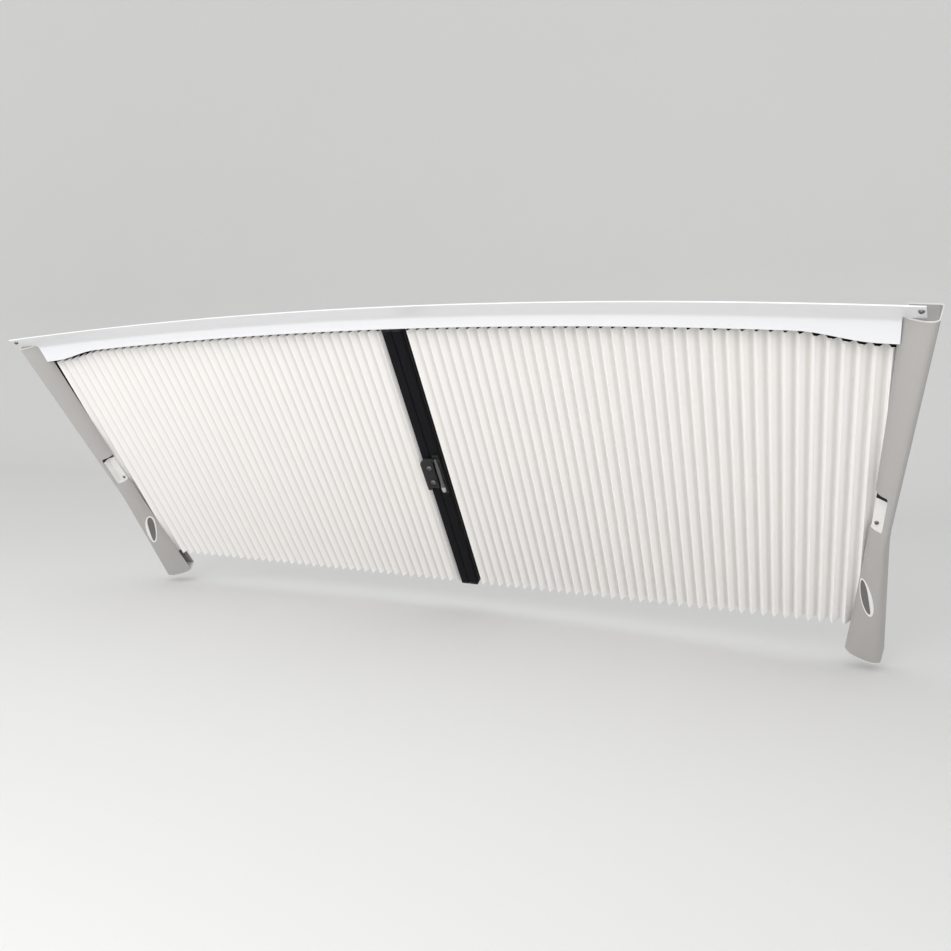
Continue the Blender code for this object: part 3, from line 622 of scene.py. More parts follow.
def fabric_strip(side, word, number):
    fold = FABRIC_END - STRIP * number
    far = fold + SEAM if number else fold
    near = fold - STRIP + SEAM if number < STRIPS - 1 else FABRIC_START
    pleat_count = (far - near) / PLEAT_PITCH
    obj = new_object(f"fabric_{word}_{number + 1}", [], [])
    pleats.run(obj, Side=float(side), Start=near, Pleats=pleat_count, Flare=FLARE_DROP * FLARE_SHARE[side],
               Early=FLARE_EARLY[side])
    if side < 0:
        obj.data.flip_normals()
    obj.data.shade_smooth()
    modify(obj, "SOLIDIFY", thickness=CLOTH_THICK, offset=0)
    obj.data.set_sharp_from_angle(angle=math.radians(80))
    body = f"{word}_runner_{number}" if number else None
    hand_in(obj, f"pleated_curtain_{word}", "fabric_white", body=body)
    chord = place(side * (fold - STRIP), 0, 0) - place(side * fold, 0, 0)
    place(side * fold, 0, BOTTOM_EDGE / 2)
    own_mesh(obj)
    width, drop, middle = 2 * PANEL * pleat_count, BOTTOM_EDGE - TOP_EDGE, (far + near) / 2
    width * (drop - BOTTOM_RISE * middle * middle)


for side, word in SIDES:
    for number in range(STRIPS):
        fabric_strip(side, word, number)

# %% [markdown]
# ## Pieces whose solid already has the right form
#
# Brackets, rail, runners, end stops and magnets are simple machined or moulded pieces. Their solids are
# right, but their edges are razor sharp. To model them anew would only repeat the work. We take a copy of
# each, merge its loose triangles, join the triangles that lie in one plane, and round the edges that are
# left.

# %% Dressed copies of solids
def dress(node, material, slot, width=0.0004):
    bm = bmesh.new()
    bm.from_mesh(solids[node].data)
    bmesh.ops.remove_doubles(bm, verts=bm.verts, dist=1e-6)
    bmesh.ops.dissolve_limit(bm, angle_limit=math.radians(0.05), verts=bm.verts, edges=bm.edges)
    mesh = bpy.data.meshes.new(node)
    bm.to_mesh(mesh)
    bm.free()
    mesh.materials.clear()
    mesh.materials.append(material)
    hand_in(round_edges(put(f"finished_{node}", mesh), width), node, slot)


dress("guide_rail", rail_black, "rail_black", 0.0003)
for number in range(1, 6):
    dress(f"rail_bracket_{number}", bracket_zinc, "bracket_steel", 0.0005)
for side, word in SIDES:
    dress(f"rail_end_stop_{word}", cap_black, "cap_black")
    dress(f"pleat_anchor_{word}", cap_black, "cap_black")
    dress(f"bar_carriage_{word}", runner_grey, "runner_grey")
    dress(f"fabric_clip_{word}", cap_black, "cap_black", 0.0002)
    dress(f"bar_bottom_cap_{word}", cap_black, "cap_black", 0.0006)
    for number in (1, 2, 3):
        dress(f"runner_{word}_{number}", runner_grey, "runner_grey", 0.0003)
    for number in (1, 2):
        dress(f"magnet_{word}_{number}", magnet_nickel, "magnet_steel", 0.0004)

# %% [markdown]
# ## The closing bars
#
# The two black bars meet in the middle of the glass. Each is a drawn hollow profile, open towards the
# fabric, with a moulded cap on top. A curve with a profile could make a bar, but a loft of its outline
# down the slope is as short, and the same helper makes most of the later pieces. The cap is slightly
# wider than the bar, and a fine joint shows.

# %% Closing bars and their top caps
BAR_NEAR, BAR_FAR, BAR_HALF, BAR_WALL, GROOVE = 0.0006, 0.0200, 0.011, 0.0016, 0.0044
BAR_MIDDLE = (BAR_NEAR + BAR_FAR) / 2
BAR_TOP, BAR_BOTTOM, TOP_CAP, GAP = 0.0003, 0.634, 0.0087, 0.0003
NEAR_CORNER, FAR_CORNER, INNER_CORNER, TINY_CORNER = 0.0012, 0.003, 0.0015, 0.0003
TOP_CAP_PROFILE = ((0, 0.0002), (0.0012, 0.0002), (0.0016, -0.0003), (0.0021, -0.0003), (0.0025, 0.0002),
                   (TOP_CAP - 0.001, 0.0002), (TOP_CAP - 0.0003, -0.0002), (TOP_CAP, -0.0009))
MAGNET_PLACES, MAGNET_LENGTH, MAGNET_WIDTH, MAGNET_THICK = (0.110, 0.500), 0.040, 0.010, 0.0035


def combine(obj, operation, other):
    """Join the other shape on or cut it out, and then remove it."""
    modify(obj, "BOOLEAN", operation=operation, solver="EXACT", object=other)
    bpy.data.objects.remove(other)


def box_between(name, spot, t, n, l):
    (t0, t1), (n0, n1), (l0, l1) = sorted(t), sorted(n), sorted(l)
    ring = [(t0, n0), (t1, n0), (t1, n1), (t0, n1)]
    return loft(name, [[spot(*p, x) for p in ring] for x in (l0, l1)], None)


def bar_outline(hollow=True, grow=0.0):
    a, b, h, g, w = BAR_NEAR - grow, BAR_FAR + grow, BAR_HALF + grow, GROOVE / 2, BAR_WALL
    if not hollow:
        return rounded([(a, -h), (b, -h), (b, h), (a, h)], [NEAR_CORNER, FAR_CORNER, FAR_CORNER, NEAR_CORNER])
    line = [(a, -h), (b, -h), (b, -g), (b - w, -g), (b - w, w - h), (a + w, w - h),
            (a + w, h - w), (b - w, h - w), (b - w, g), (b, g), (b, h), (a, h)]
    half = [NEAR_CORNER, FAR_CORNER, TINY_CORNER, TINY_CORNER, INNER_CORNER, TINY_CORNER]
    return rounded(line, half + half[::-1])


def closing_bar(side, word):
    spot = Spot(side * BAR_MIDDLE)
    sections = [[spot(side * t, n, l) for t, n in bar_outline()] for l in (BAR_TOP, BAR_BOTTOM)]
    bar = loft(f"drawn_bar_{word}", sections, bar_black)
    for l in MAGNET_PLACES:
        half, deep = MAGNET_LENGTH / 2 + GAP, BAR_NEAR + MAGNET_THICK + 2 * GAP
        wide = MAGNET_WIDTH / 2 + GAP
        combine(bar, "DIFFERENCE",
                box_between("pocket", spot, (0, side * deep), (-wide, wide), (l - half, l + half)))
    hand_in(round_edges(bar, 0.0003, 50), f"closing_bar_{word}", "bar_black")
    sections = [[spot(side * t, n, BAR_TOP - GAP - rise) for t, n in bar_outline(False, grow)]
                for rise, grow in TOP_CAP_PROFILE]
    cap = soften(loft(f"moulded_cap_{word}", sections, cap_black), 40)
    hand_in(cap, f"bar_top_cap_{word}", "cap_black")


for side, word in SIDES:
    closing_bar(side, word)

# %% [markdown]
# ## The top cover
#
# One long moulding hides the rail. Its face drops lower at the two ends, where it meets the housings, and
# above its ridge a flange slopes up to the roof lining. The ridge has a soft radius, which shows as the
# bright line along the cover. A swept curve would keep one section, but this section grows at the ends, so
# we loft it along the arc and change it on the way. At the ends only the flange goes on, as a tab for a
# screw.

# %% Top cover
FACE_BACK, FACE_FRONT = -0.020, -0.022
FACE_BOTTOM, FACE_TOP = -0.011, -0.0335
FLANGE_RUN, FLANGE_RISE, FLANGE_WALL = 0.033, 0.036, 0.0014
END_TAB, TAB_FROM, TAB_LAP = 0.029, 0.18, 0.004
COVER_STEPS, COVER_CORNERS = 120, [0.0007, 0.0045, 0.0004, 0.0004, 0.0030, 0.0007]


def ease(x):
    x = min(1.0, max(0.0, x))
    return x * x * (3 - 2 * x)


def flare(s):
    return FLARE_DROP * ease((abs(s) - FACE_END + FLARE_FLAT + FLARE_RUN) / FLARE_RUN)


def flange_point(share, lift=0.0):
    return FACE_FRONT - FLANGE_RUN * share + lift, FACE_TOP - FLANGE_RISE * share - lift


def cover_outline(lower):
    f, b = FACE_FRONT, FACE_BACK
    line = [(f, lower), (f, FACE_TOP + 0.0008), flange_point(1.0), flange_point(1.0, FLANGE_WALL),
            (b, FACE_TOP - 0.0012), (b, lower)]
    return rounded(line, COVER_CORNERS, 6)


def tab_outline():
    line = [flange_point(TAB_FROM), flange_point(1.0), flange_point(1.0, FLANGE_WALL),
            flange_point(TAB_FROM, FLANGE_WALL)]
    return rounded(line, 0.0005, 3)


def top_cover():
    main = loft("satin_cover", [[place(s, n, l) for n, l in cover_outline(FACE_BOTTOM + flare(s))]
                                for s in steps_between(-FACE_END, FACE_END, COVER_STEPS)], cover_white)
    for side, word in SIDES:
        combine(main, "UNION", loft("tab", [[place(side * s, n, l) for n, l in tab_outline()]
                                            for s in (FACE_END - TAB_LAP, FACE_END + END_TAB)], cover_white))
    return main


hand_in(round_edges(top_cover(), 0.0005), "top_cover", "cover_white")

# %% [markdown]
# ## The pillar housings
#
# Each housing is a convex column beside the glass. The fabric disappears behind its inner edge. A loft
# with a hole cut by a Boolean would have hard corners there. Instead we lay a coarse net over its front,
# side and back, leave out the faces of the cut-out, and let Subdivision Surface round the column and the
# cut-out's corners. Solidify then gives the wall its thickness.

# %% Housing shells
HOUSING_TOP, HOUSING_BOTTOM, HOUSING_REAR, HOUSING_WALL = -0.0359, 0.632, 0.0178, 0.002
EDGE_IN, EDGE_LEAN, EDGE_BEND = 0.0055, 0.031, 0.055
HOUSING_WIDTH, OUTER_LEAN, OUTER_TURN, OUTER_SPREAD = 0.0455, 0.090, 0.37, 0.030
HOUSING_FRONT = ((0.0, 0.0105), (0.03, 0.0140), (0.08, 0.0180), (0.16, 0.0220),
                 (0.28, 0.0258), (0.42, 0.0290), (0.58, 0.0315), (0.74, 0.0330),
                 (0.88, 0.0325), (0.96, 0.0300), (1.0, 0.0250))
HOUSING_SIDE = (-0.026, -0.012, 0.004, HOUSING_REAR - 0.004)
NOTCH_TOP, NOTCH_BOTTOM, NOTCH_WIDTH = 0.2610, 0.332, 0.0205
NOTCH_SHARES, FRONT_SHARES = (0, 0.12, 0.3, 0.55, 0.8, 1), (0.16, 0.34, 0.52, 0.7, 0.86, 0.96)
NET_LONG, NET_SHORT, NET_JOINT = 9, 6, 0.005    # rows above, rows beside the cut-out, and what joins them


def inner_edge(l):
    return FABRIC_END - EDGE_IN - EDGE_LEAN * l - EDGE_BEND * l * l


def outer_edge(l):
    below = max(0.0, l - OUTER_TURN)
    return FABRIC_END - EDGE_IN + HOUSING_WIDTH - OUTER_LEAN * (l - below) + OUTER_SPREAD * below


def front_reach(x):
    """How far the column's front stands towards the cabin, at a share x of its width."""
    x = min(1.0, max(0.0, x))
    for (x0, d0), (x1, d1) in zip(HOUSING_FRONT, HOUSING_FRONT[1:]):
        if x <= x1:
            return d0 + (d1 - d0) * (x - x0) / (x1 - x0)


def column_line(l):
    """The (t, n) points of one row of the net: front lip, front, side and back."""
    a, b = inner_edge(l), outer_edge(l)
    asides = [NOTCH_WIDTH * x for x in NOTCH_SHARES]
    asides += [NOTCH_WIDTH + (b - a - NOTCH_WIDTH) * x for x in FRONT_SHARES]
    line = [(a + d, -front_reach(d / (b - a))) for d in asides]
    line += [(b, n) for n in HOUSING_SIDE] + [(b - 0.002, HOUSING_REAR - 0.0005)]
    return line + [(t, HOUSING_REAR) for t in (b - 0.006, b * 0.65 + a * 0.35, b * 0.4 + a * 0.6, a + 0.006)]


def housing(side, word):
    rows = (steps_between(HOUSING_TOP, NOTCH_TOP - NET_JOINT, NET_LONG)
            + steps_between(NOTCH_TOP, NOTCH_BOTTOM, NET_SHORT)
            + steps_between(NOTCH_BOTTOM + NET_JOINT, HOUSING_BOTTOM, NET_LONG))
    spot, columns, notch = Spot(side * FABRIC_END), len(column_line(0)), len(NOTCH_SHARES) - 1
    verts = [spot(side * t, n, l) for l in rows for t, n in column_line(l)]
    faces = []
    for r, (l0, l1) in enumerate(zip(rows, rows[1:])):
        for c in range(columns - 1):
            if not (c < notch and l0 > NOTCH_TOP - 1e-6 and l1 < NOTCH_BOTTOM + 1e-6):
                k = r * columns + c
                faces.append((k, k + 1, k + 1 + columns, k + columns))
    obj = new_object(f"column_{word}", verts, faces, housing_grey)
    if side > 0:
        obj.data.flip_normals()
    modify(obj, "SUBSURF", levels=2, render_levels=2, boundary_smooth="PRESERVE_CORNERS")
    modify(obj, "SOLIDIFY", thickness=HOUSING_WALL, offset=-1)
    hand_in(round_edges(obj, 0.0005, 50), f"pillar_housing_{word}", "housing_grey")


for side, word in SIDES:
    housing(side, word)

# %% [markdown]
# ### The housings' ends
#
# The top cap has a raised rim round a recessed face, and the foot cap is the same. The rim is painted a light
# grey as a painted highlight, and the face a dark grey as painted shade. Both stand in for how light falls on
# the housing's own grey. We loft the column's own outline: up and slightly outwards for the rim, then inwards
# and down for the face.

# %% Housing ends
CAP_THICK, CAP_OVER = 0.0022, 0.0006
CAP_PROFILE = ((0, CAP_OVER - 0.0004), (0.0004, CAP_OVER), (CAP_THICK - 0.0007, CAP_OVER),
               (CAP_THICK - 0.0002, CAP_OVER - 0.0002), (CAP_THICK, CAP_OVER - 0.0007),
               (CAP_THICK - 0.0001, -0.0009), (CAP_THICK - 0.0005, -0.0013), (CAP_THICK - 0.0014, -0.0015))


def end_outline(l, grow):
    """The column's closed outline at l, moved outwards by grow."""
    line = [Vector(p) for p in rounded(column_line(l), 0.002, 2)]
    middle, out = sum(line, Vector((0, 0))) / len(line), []
    for i, p in enumerate(line):
        along = line[(i + 1) % len(line)] - line[i - 1]
        normal = Vector((along.y, -along.x)).normalized()
        if normal.dot(p - middle) < 0:
            normal.negate()
        out.append(p + normal * grow)
    return out


def housing_end(side, word, name, node, base, up):
    spot = Spot(side * FABRIC_END)
    sections = [[spot(side * t, n, base - up * rise) for t, n in end_outline(base, grow)]
                for rise, grow in CAP_PROFILE]
    # The rim takes a painted highlight and the recessed face takes painted shade.
    obj = loft(f"{name}_{word}", sections, rim_grey)
    obj.data.materials.append(recess_grey)
    obj.data.polygons[-1].material_index = 1
    hand_in(soften(obj, 50), node, "housing_grey")


for side, word in SIDES:
    housing_end(side, word, "rimmed_cap", f"housing_cap_{word}", HOUSING_TOP - GAP, 1)
    housing_end(side, word, "rimmed_foot", f"housing_foot_{word}", HOUSING_BOTTOM + GAP, -1)

# %% [markdown]
# ### Fixing plates
#
# The pale fixing plate lies in the cut-out: a floor, a side wall and a ledge at the lower end, in one
# moulding. Its section changes only where the ledge begins, so a loft of five sections is enough. A black
# band is painted along the cut-out's upper edge: it is painted shadow, standing in for the shadow that the
# column's lip casts on the plate. Its width and its slant differ from side to side.

# %% Fixing plates
PLATE_FRONT, PLATE_WALL, PLATE_INSET, PLATE_UNDER = 0.0118, 0.0018, 0.003, 0.004
PLATE_STEP, LEDGE_FROM, LEDGE_FULL = 0.006, 0.0016, 0.0006
# Width and slant on each side of the black band that is painted shadow under the column's lip.
PAINTED_SHADOW, PAINTED_SHADOW_SLANT = {-1: 0.0060, 1: 0.0150}, {-1: 0.20, 1: 0.42}


def plate_section(spot, side, l, full, slant):
    """One section of the plate: its floor, or, where it is full, the ledge under the column's wall."""
    a, b = inner_edge(l), outer_edge(l)
    near, far = a + PLATE_INSET, a + NOTCH_WIDTH + PLATE_WALL + 2 * GAP

    def under(t):
        return -(front_reach((t - a) / (b - a)) - HOUSING_WALL - 3 * GAP)

    brink, back = far - PLATE_WALL, PLATE_WALL - PLATE_FRONT
    stops = (near + PLATE_STEP, near + 2 * PLATE_STEP)
    inner = [(t, -PLATE_FRONT) for t in (near, *stops, brink)]
    if full:
        inner = [(near, under(near + 0.001)), *[(t, under(t)) for t in stops], (brink - 0.0002, under(brink))]
    line = [(near, back)] + inner + [(brink, under(brink)), (far, under(brink)), (far, back)]
    return [spot(side * t, n, l + slant * (t - near)) for t, n in line]


def fixing_plate(side, word):
    ledges = ((NOTCH_TOP - PLATE_UNDER, False, 0), (NOTCH_TOP + PAINTED_SHADOW[side], False, PAINTED_SHADOW_SLANT[side]),
              (NOTCH_BOTTOM - LEDGE_FROM, False, 0), (NOTCH_BOTTOM - LEDGE_FULL, True, 0),
              (NOTCH_BOTTOM + PLATE_UNDER, True, 0))
    sections = [plate_section(Spot(side * FABRIC_END), side, *ledge) for ledge in ledges]
    obj = loft(f"moulded_plate_{word}", sections, insert_white)
    # Painted shadow: the faces of the plate's top section are black, where the column's lip casts its shadow.
    obj.data.materials.append(cap_black)
    for face in obj.data.polygons[:len(sections[0])]:
        face.material_index = 1
    hand_in(round_edges(obj, 0.0004), f"fixing_plate_{word}", "insert_white")


for side, word in SIDES:
    fixing_plate(side, word)

# %% [markdown]
# ### Oval bezels
#
# Low on the column sits an oval bezel. A stretched torus would have the same band all round. This band is
# narrow on the inner side and broadens to a cheek on the outer side, so we loft a ring whose section changes
# round the oval. An inlay with fine ribs fills it. Its dark grey is painted shade, standing in for the shade
# inside the recessed oval.

# %% Oval bezels
OVAL_ACROSS, OVAL_DOWN, OVAL_LONG, OVAL_SHORT, OVAL_LEAN = 0.40, 0.481, 0.037, 0.0092, math.radians(12.5)
OVAL_BAND, OVAL_HEIGHT, OVAL_STEPS = 0.0016, 0.0016, 96
CHEEK_WIDTH, CHEEK_TURN = 0.0052, math.radians(25)
RIBS, RIB_HEIGHT, ROWS_PER_RIB = 30, 0.0003, 8


def on_oval(spot, side, u, v, lift):
    """A point u across and v along the leaning oval, lift above the column's front."""
    inner, outer = inner_edge(OVAL_DOWN), outer_edge(OVAL_DOWN)
    t = inner + (outer - inner) * OVAL_ACROSS + u * math.cos(OVAL_LEAN) + v * math.sin(OVAL_LEAN)
    l = OVAL_DOWN - u * math.sin(OVAL_LEAN) + v * math.cos(OVAL_LEAN)
    a, b = inner_edge(l), outer_edge(l)
    return spot(side * t, -front_reach((t - a) / (b - a)) - lift, l)


def oval_bezel(side, word):
    spot, rings = Spot(side * FABRIC_END), []
    for k in range(OVAL_STEPS):
        a = k * math.tau / OVAL_STEPS
        c, q = math.cos(a), math.sin(a)
        cheek = (0.5 + 0.5 * math.cos(a - CHEEK_TURN)) ** 1.5
        inner, high = 0.0004 + CHEEK_WIDTH * cheek, OVAL_HEIGHT * (0.6 + 0.4 * cheek)
        section = ((-inner, 0.0001), (-inner, 0.0007), (-inner * 0.7, high * 0.85), (-inner * 0.3, high),
                   (OVAL_BAND * 0.4, high * 0.95), (OVAL_BAND * 0.85, high * 0.6), (OVAL_BAND, 0.0001))
        rings.append([on_oval(spot, side, (OVAL_SHORT + out) * c, (OVAL_LONG + out) * q, lift)
                      for out, lift in section])
    obj = soften(loft(f"oval_ring_{word}", rings, insert_white, ring=True), 60)
    hand_in(obj, f"oval_bezel_{word}", "insert_white")


def ribbed_inlay(side, word):
    """A thin oval of fine ribs that fills the bezel."""
    spot, sections, rows = Spot(side * FABRIC_END), [], ROWS_PER_RIB * RIBS
    for k in range(rows + 1):
        v = -1 + 2 * k / rows
        half = OVAL_SHORT * math.sqrt(max(0.0, 1 - v * v)) + 0.0001
        lift = 0.0004 + RIB_HEIGHT * (0.5 + 0.5 * math.cos(k * math.tau / ROWS_PER_RIB))
        across = steps_between(-half, half, 6)
        sections.append([on_oval(spot, side, u, v * OVAL_LONG, lift) for u in across]
                        + [on_oval(spot, side, u, v * OVAL_LONG, 0.0001) for u in reversed(across)])
    # Painted shade: the inlay is dark grey for the shade inside the oval.
    obj = soften(loft(f"ribbed_inlay_{word}", sections, inlay_grey), 60)
    hand_in(obj, f"oval_bezel_{word}", "insert_white")


for side, word in SIDES:
    oval_bezel(side, word)
    ribbed_inlay(side, word)

# %% [markdown]
# ## Catch plate
#
# A thick plate on the left bar reaches over the fabric, with a slanted corner at its top and a short tail
# at its lower end. Two domed screws hold it. A Bevel alone would round its rim to one small radius. The
# real rim is softer, so we stack the outline five times and shrink the upper ones.

# %% Catch plate
CATCH_WIDTH, CATCH_OVERHANG, CATCH_THICK, CATCH_TOP, CATCH_LENGTH = 0.030, 0.005, 0.0072, 0.2935, 0.0705
BAR_FACE, CATCH_TAIL, CATCH_SLANT, CATCH_RISE = BAR_HALF + GAP, 0.007, 0.014, 0.009
CATCH_CORNERS = [0.006, 0.005, 0.004, 0.004, 0.0015, 0.0015, 0.002]
CATCH_PROFILE = ((0, 0), (CATCH_THICK - 0.0030, 0), (CATCH_THICK - 0.0014, 0.0005),
                 (CATCH_THICK - 0.0004, 0.0016), (CATCH_THICK, 0.0030))


def catch_plate():
    spot, far = Spot(-BAR_MIDDLE), -(BAR_FAR + CATCH_OVERHANG)
    t0, t1, l0, l1 = far, far + CATCH_WIDTH, CATCH_TOP, CATCH_TOP + CATCH_LENGTH
    corners = [(t0, l0), (t0 + CATCH_SLANT, l0 - CATCH_RISE), (t1, l0 - CATCH_RISE), (t1, l1 - CATCH_TAIL),
               (t0 + CATCH_TAIL * 1.6, l1 - CATCH_TAIL), (t0 + CATCH_TAIL * 1.2, l1), (t0 + 0.001, l1)]
    outline = rounded(corners, CATCH_CORNERS, 6)
    middle = Vector(((t0 + t1) / 2, (l0 + l1) / 2))
    sections = []
    for height, shrink in CATCH_PROFILE:
        k = Vector((1 - 2 * shrink / CATCH_WIDTH, 1 - 2 * shrink / CATCH_LENGTH))
        sections.append([spot(middle.x + (t - middle.x) * k.x, -BAR_FACE - height,
                              middle.y + (l - middle.y) * k.y) for t, l in outline])
    hand_in(round_edges(loft("moulded_catch", sections, cap_black), 0.0006, 60), "catch_plate", "cap_black")


catch_plate()

# %% [markdown]
# ## Pull lever
#
# On the right bar a slim grey lever lies in a shallow tray and turns on a pin. It is a blade that widens
# to a round bright tip, so we loft round sections whose width and height change. The table gives, for
# each section, its distance from the pin, its half width, its lowest and its highest point.

# %% Pull lever and tray
TRAY_ASIDE, TRAY_WIDTH, TRAY_THICK, TRAY_TOP = 0.0052, 0.0138, 0.002, 0.276
LEVER_PIVOT, LEVER_LENGTH, LEVER_ABOVE, TIP_FROM = 0.010, 0.082, 0.0026, 0.0680
LEVER_STEPS, LEVER_SQUARE = 20, 0.6     # points in each section, and an exponent: 1 is an oval, 0 a box
LEVER_PROFILE = (
    (-0.0022, 0.0012, -0.0006, 0.0006), (-0.0016, 0.0020, -0.0014, 0.0014), (0.0, 0.0024, -0.0022, 0.0020),
    (0.0050, 0.0026, -0.0020, 0.0018), (0.0130, 0.0033, -0.0017, 0.0016), (0.0250, 0.0035, -0.0018, 0.0016),
    (0.0480, 0.0033, -0.0019, 0.0016), (0.0560, 0.0036, -0.0022, 0.0016), (0.0620, 0.0042, -0.0027, 0.0016),
    (TIP_FROM, 0.0044, -0.0030, 0.0016), (0.0740, 0.0044, -0.0034, 0.0016), (0.0780, 0.0038, -0.0032, 0.0016),
    (0.0807, 0.0026, -0.0024, 0.0012), (LEVER_LENGTH, 0.0010, -0.0008, 0.0004))
dress("lever_tray", cap_black, "cap_black", 0.0004)
dress("lever_pin", screw_steel, "screw_steel", 0.0002)


def pull_lever():
    spot = Spot(BAR_MIDDLE)
    middle = BAR_NEAR + TRAY_ASIDE + TRAY_WIDTH / 2
    axis, pivot = -(BAR_FACE + TRAY_THICK) - LEVER_ABOVE, TRAY_TOP + LEVER_PIVOT
    sections = []
    for along, half, low, high in LEVER_PROFILE:
        ring = []
        for k in range(LEVER_STEPS):
            a, centre = k * math.tau / LEVER_STEPS, axis + (low + high) / 2
            c, q = [math.copysign(abs(x) ** LEVER_SQUARE, x) for x in (math.cos(a), math.sin(a))]
            ring.append(spot(middle + half * c, centre + (high - low) / 2 * q, pivot + along))
        sections.append(ring)
    lever = loft("silver_lever", sections, lever_silver)
    lever.data.materials.append(tip_silver)
    for face in lever.data.polygons:
        if (face.center - spot.at).dot(DOWN) > pivot + TIP_FROM:
            face.material_index = 1
    lever.data.shade_smooth()
    hand_in(lever, "latch_lever", "lever_silver")


pull_lever()

# %% [markdown]
# ## Screws
#
# Eleven screws of four sizes hold the blind together. They are all the same shape: a domed head with a
# six-sided socket. We model one head with height 1 and radius 1, put one point on each real screw's
# seat, and let Geometry Nodes copy the head there, turned to the screw's axis and scaled to its size. Two
# runs of the tree are needed, because the screws ride on two bodies.

# %% One screw
SOCKET, SOCKET_DEEP, SHAFT, SHAFT_LONG, HEAD_STEPS = 0.42, 0.55, 0.42, 1.2, 24
HEAD_PROFILE = ((0.94, 0), (1.0, 0.08), (0.98, 0.30), (0.90, 0.58), (0.76, 0.80), (0.58, 0.94))


def screw_model(material):
    def ring(radius, height, corners=False):
        points = []
        for k in range(HEAD_STEPS):
            a = k * math.tau / HEAD_STEPS
            hexagon = math.cos(math.pi / 6) / math.cos((a % (math.pi / 3)) - math.pi / 6)
            r = radius * hexagon if corners else radius
            points.append(Vector((r * math.cos(a), r * math.sin(a), height)))
        return points

    rings = [ring(SHAFT, -SHAFT_LONG), ring(SHAFT, 0), *[ring(*point) for point in HEAD_PROFILE],
             ring(SOCKET, 1.0, True), ring(SOCKET * 0.96, 1.0 - SOCKET_DEEP, True)]
    return soften(loft("screw_model", rings, material), 40)


def screw_tree(model):
    t = Shape("Screws", {"Screw": model, "Material": screw_steel})

    def attribute(name):
        return t.add("GeometryNodeInputNamedAttribute", {"Name": name}, data_type="FLOAT_VECTOR")

    turned = t.add("FunctionNodeAlignRotationToVector", {"Vector": attribute("axis")}, axis="Z")
    one = t.add("GeometryNodeObjectInfo", {"Object": t["Screw"], "As Instance": True}, "Geometry")
    return t.end(t.add("GeometryNodeInstanceOnPoints", {
        "Points": t["Geometry"], "Instance": one, "Rotation": turned, "Scale": attribute("size")}))


model = screw_model(screw_steel)
screws = screw_tree(model)
print("screw model:", len(model.data.polygons), "faces, screw tree:", len(screws.group.nodes), "nodes")

# %% [markdown]
# The seats are read from the solids themselves. For each screw we know its axis. The furthest points
# along that axis give the head's top, and the table of sizes gives its radius and height.

# %% Every screw in its place
SCREW_SIZES = {"cover": (0.0040, 0.0030), "bracket": (0.0032, 0.0020), "catch": (0.0054, 0.0034),
               "fixing": (0.0034, 0.0022)}
COVER_SCREW_FROM_END = 0.0055


def cover_screw_axis(side):
    s = side * (FACE_END + END_TAB - COVER_SCREW_FROM_END)
    along = place(s, *flange_point(1.0)) - place(s, *flange_point(0.0))
    inward = Spot(s).t.cross(along).normalized()
    return inward * -math.copysign(1, inward.dot(OUTWARD))


def screw_axes():
    axes = {f"bracket_screw_{k}": -DOWN for k in range(1, 6)}
    for side, word in SIDES:
        axes[f"cover_screw_{word}"] = cover_screw_axis(side)
        axes[f"fixing_screw_{word}"] = -Spot(side * FABRIC_END).n
    for k in (1, 2):
        axes[f"catch_screw_{k}"] = -Spot(-BAR_MIDDLE).n
    return axes


def place_screws(name, chosen):
    seats, axes, sizes = [], [], []
    for node, axis in chosen.items():
        radius, height = SCREW_SIZES[node.split("_")[0]]
        corners = [v.co for v in solids[node].data.vertices]
        top = max(axis.dot(p) for p in corners)
        ends = [p for p in corners if axis.dot(p) > top - 1e-5]
        seats.append(sum(ends, Vector()) / len(ends) - axis * height)
        axes.append(axis)
        sizes.append(Vector((radius, radius, height)))
    obj = new_object(name, seats, [])
    for label, values in (("axis", axes), ("size", sizes)):
        data = obj.data.attributes.new(label, "FLOAT_VECTOR", "POINT").data
        data.foreach_set("vector", [x for v in values for x in v])
    screws.run(obj)
    first, *more = chosen
    hand_in(obj, first, "screw_steel", *more)


by_body = {}
for node, axis in screw_axes().items():
    by_body.setdefault(body_of(node), {})[node] = axis
for body, chosen in by_body.items():
    place_screws(f"screws_on_{body}", chosen)
bpy.data.objects.remove(model)

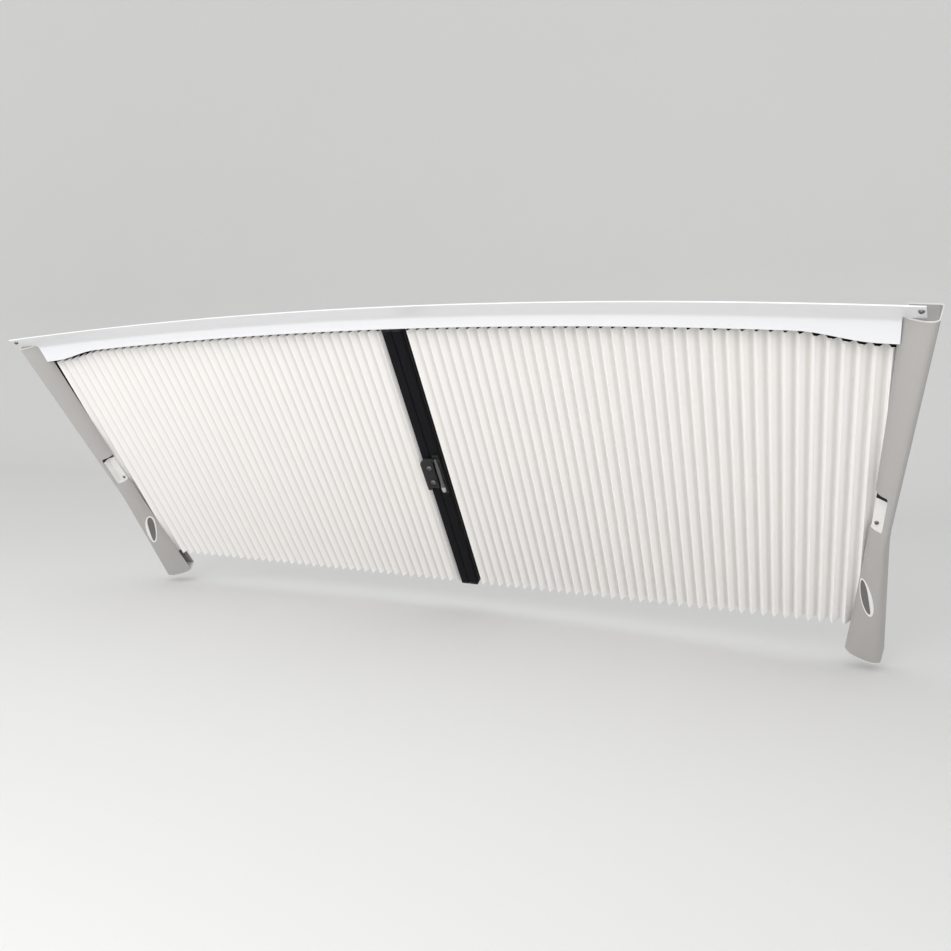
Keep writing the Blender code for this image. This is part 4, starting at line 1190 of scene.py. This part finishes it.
# %% [markdown]
# ## Studio
#
# The blind stands before a pale sweep: a floor that curves up into a wall, so that no horizon shows. The
# light is soft and comes from the cabin's side, a little from above. A weaker lamp from below and one
# beside the left housing open the shadows, and an even sky fills the folds.

# %% Floor, lamps and sky
FLOOR_DROP, SWEEP_FRONT, SWEEP_BACK, SWEEP_RADIUS, SWEEP_HALF, SWEEP_TOP = 0.012, -7.0, 3.2, 1.6, 9.0, 7.0
SWEEP_STEPS, SKY = 16, 0.90


def sweep():
    floor = solid_box[0].z - FLOOR_DROP
    curve = [(SWEEP_BACK + SWEEP_RADIUS * math.sin(a), floor + SWEEP_RADIUS * (1 - math.cos(a)))
             for a in steps_between(0, math.pi / 2, SWEEP_STEPS)]
    line = [(SWEEP_FRONT, floor), *curve, (SWEEP_BACK + SWEEP_RADIUS, SWEEP_TOP)]
    verts = [Vector((x, y, z)) for y, z in line for x in (-SWEEP_HALF, SWEEP_HALF)]
    faces = [(2 * k, 2 * k + 1, 2 * k + 3, 2 * k + 2) for k in range(len(line) - 1)]
    f = Finish("studio_paper", (0.72, 0.72, 0.715), 0.9)
    f.tint(f.noise(0.8), (0.99,) * 3, (1.01,) * 3)
    obj = new_object("studio_sweep", verts, faces, f.material)
    obj.data.shade_smooth()


def softbox(name, at, aim, size, power):
    lamp = put(name, bpy.data.lights.new(name, "AREA"))
    lamp.data.shape, lamp.data.size, lamp.data.energy = "DISK", size, power
    lamp.location, lamp.visible_camera = at, False
    lamp.rotation_euler = (Vector(aim) - Vector(at)).to_track_quat("-Z", "Y").to_euler()


sweep()
softbox("key", (0.3, -2.3, 0.55), (0, 0.1, -0.25), 1.5, 20)
softbox("low", (0.1, -2.0, -0.30), (0, -0.05, 0.0), 0.6, 8)
softbox("left", (-1.55, -0.95, -0.05), (-0.85, 0.1, -0.3), 0.5, 2.2)
world = bpy.context.scene.world = bpy.data.worlds.new("sky")
world.use_nodes = True
sky = world.node_tree.nodes["Background"].inputs
sky["Color"].default_value, sky["Strength"].default_value = (1, 1, 1, 1), SKY
print("studio:", len(bpy.data.lights), "lamps")
bpy.context.scene.view_settings.view_transform = "Standard"
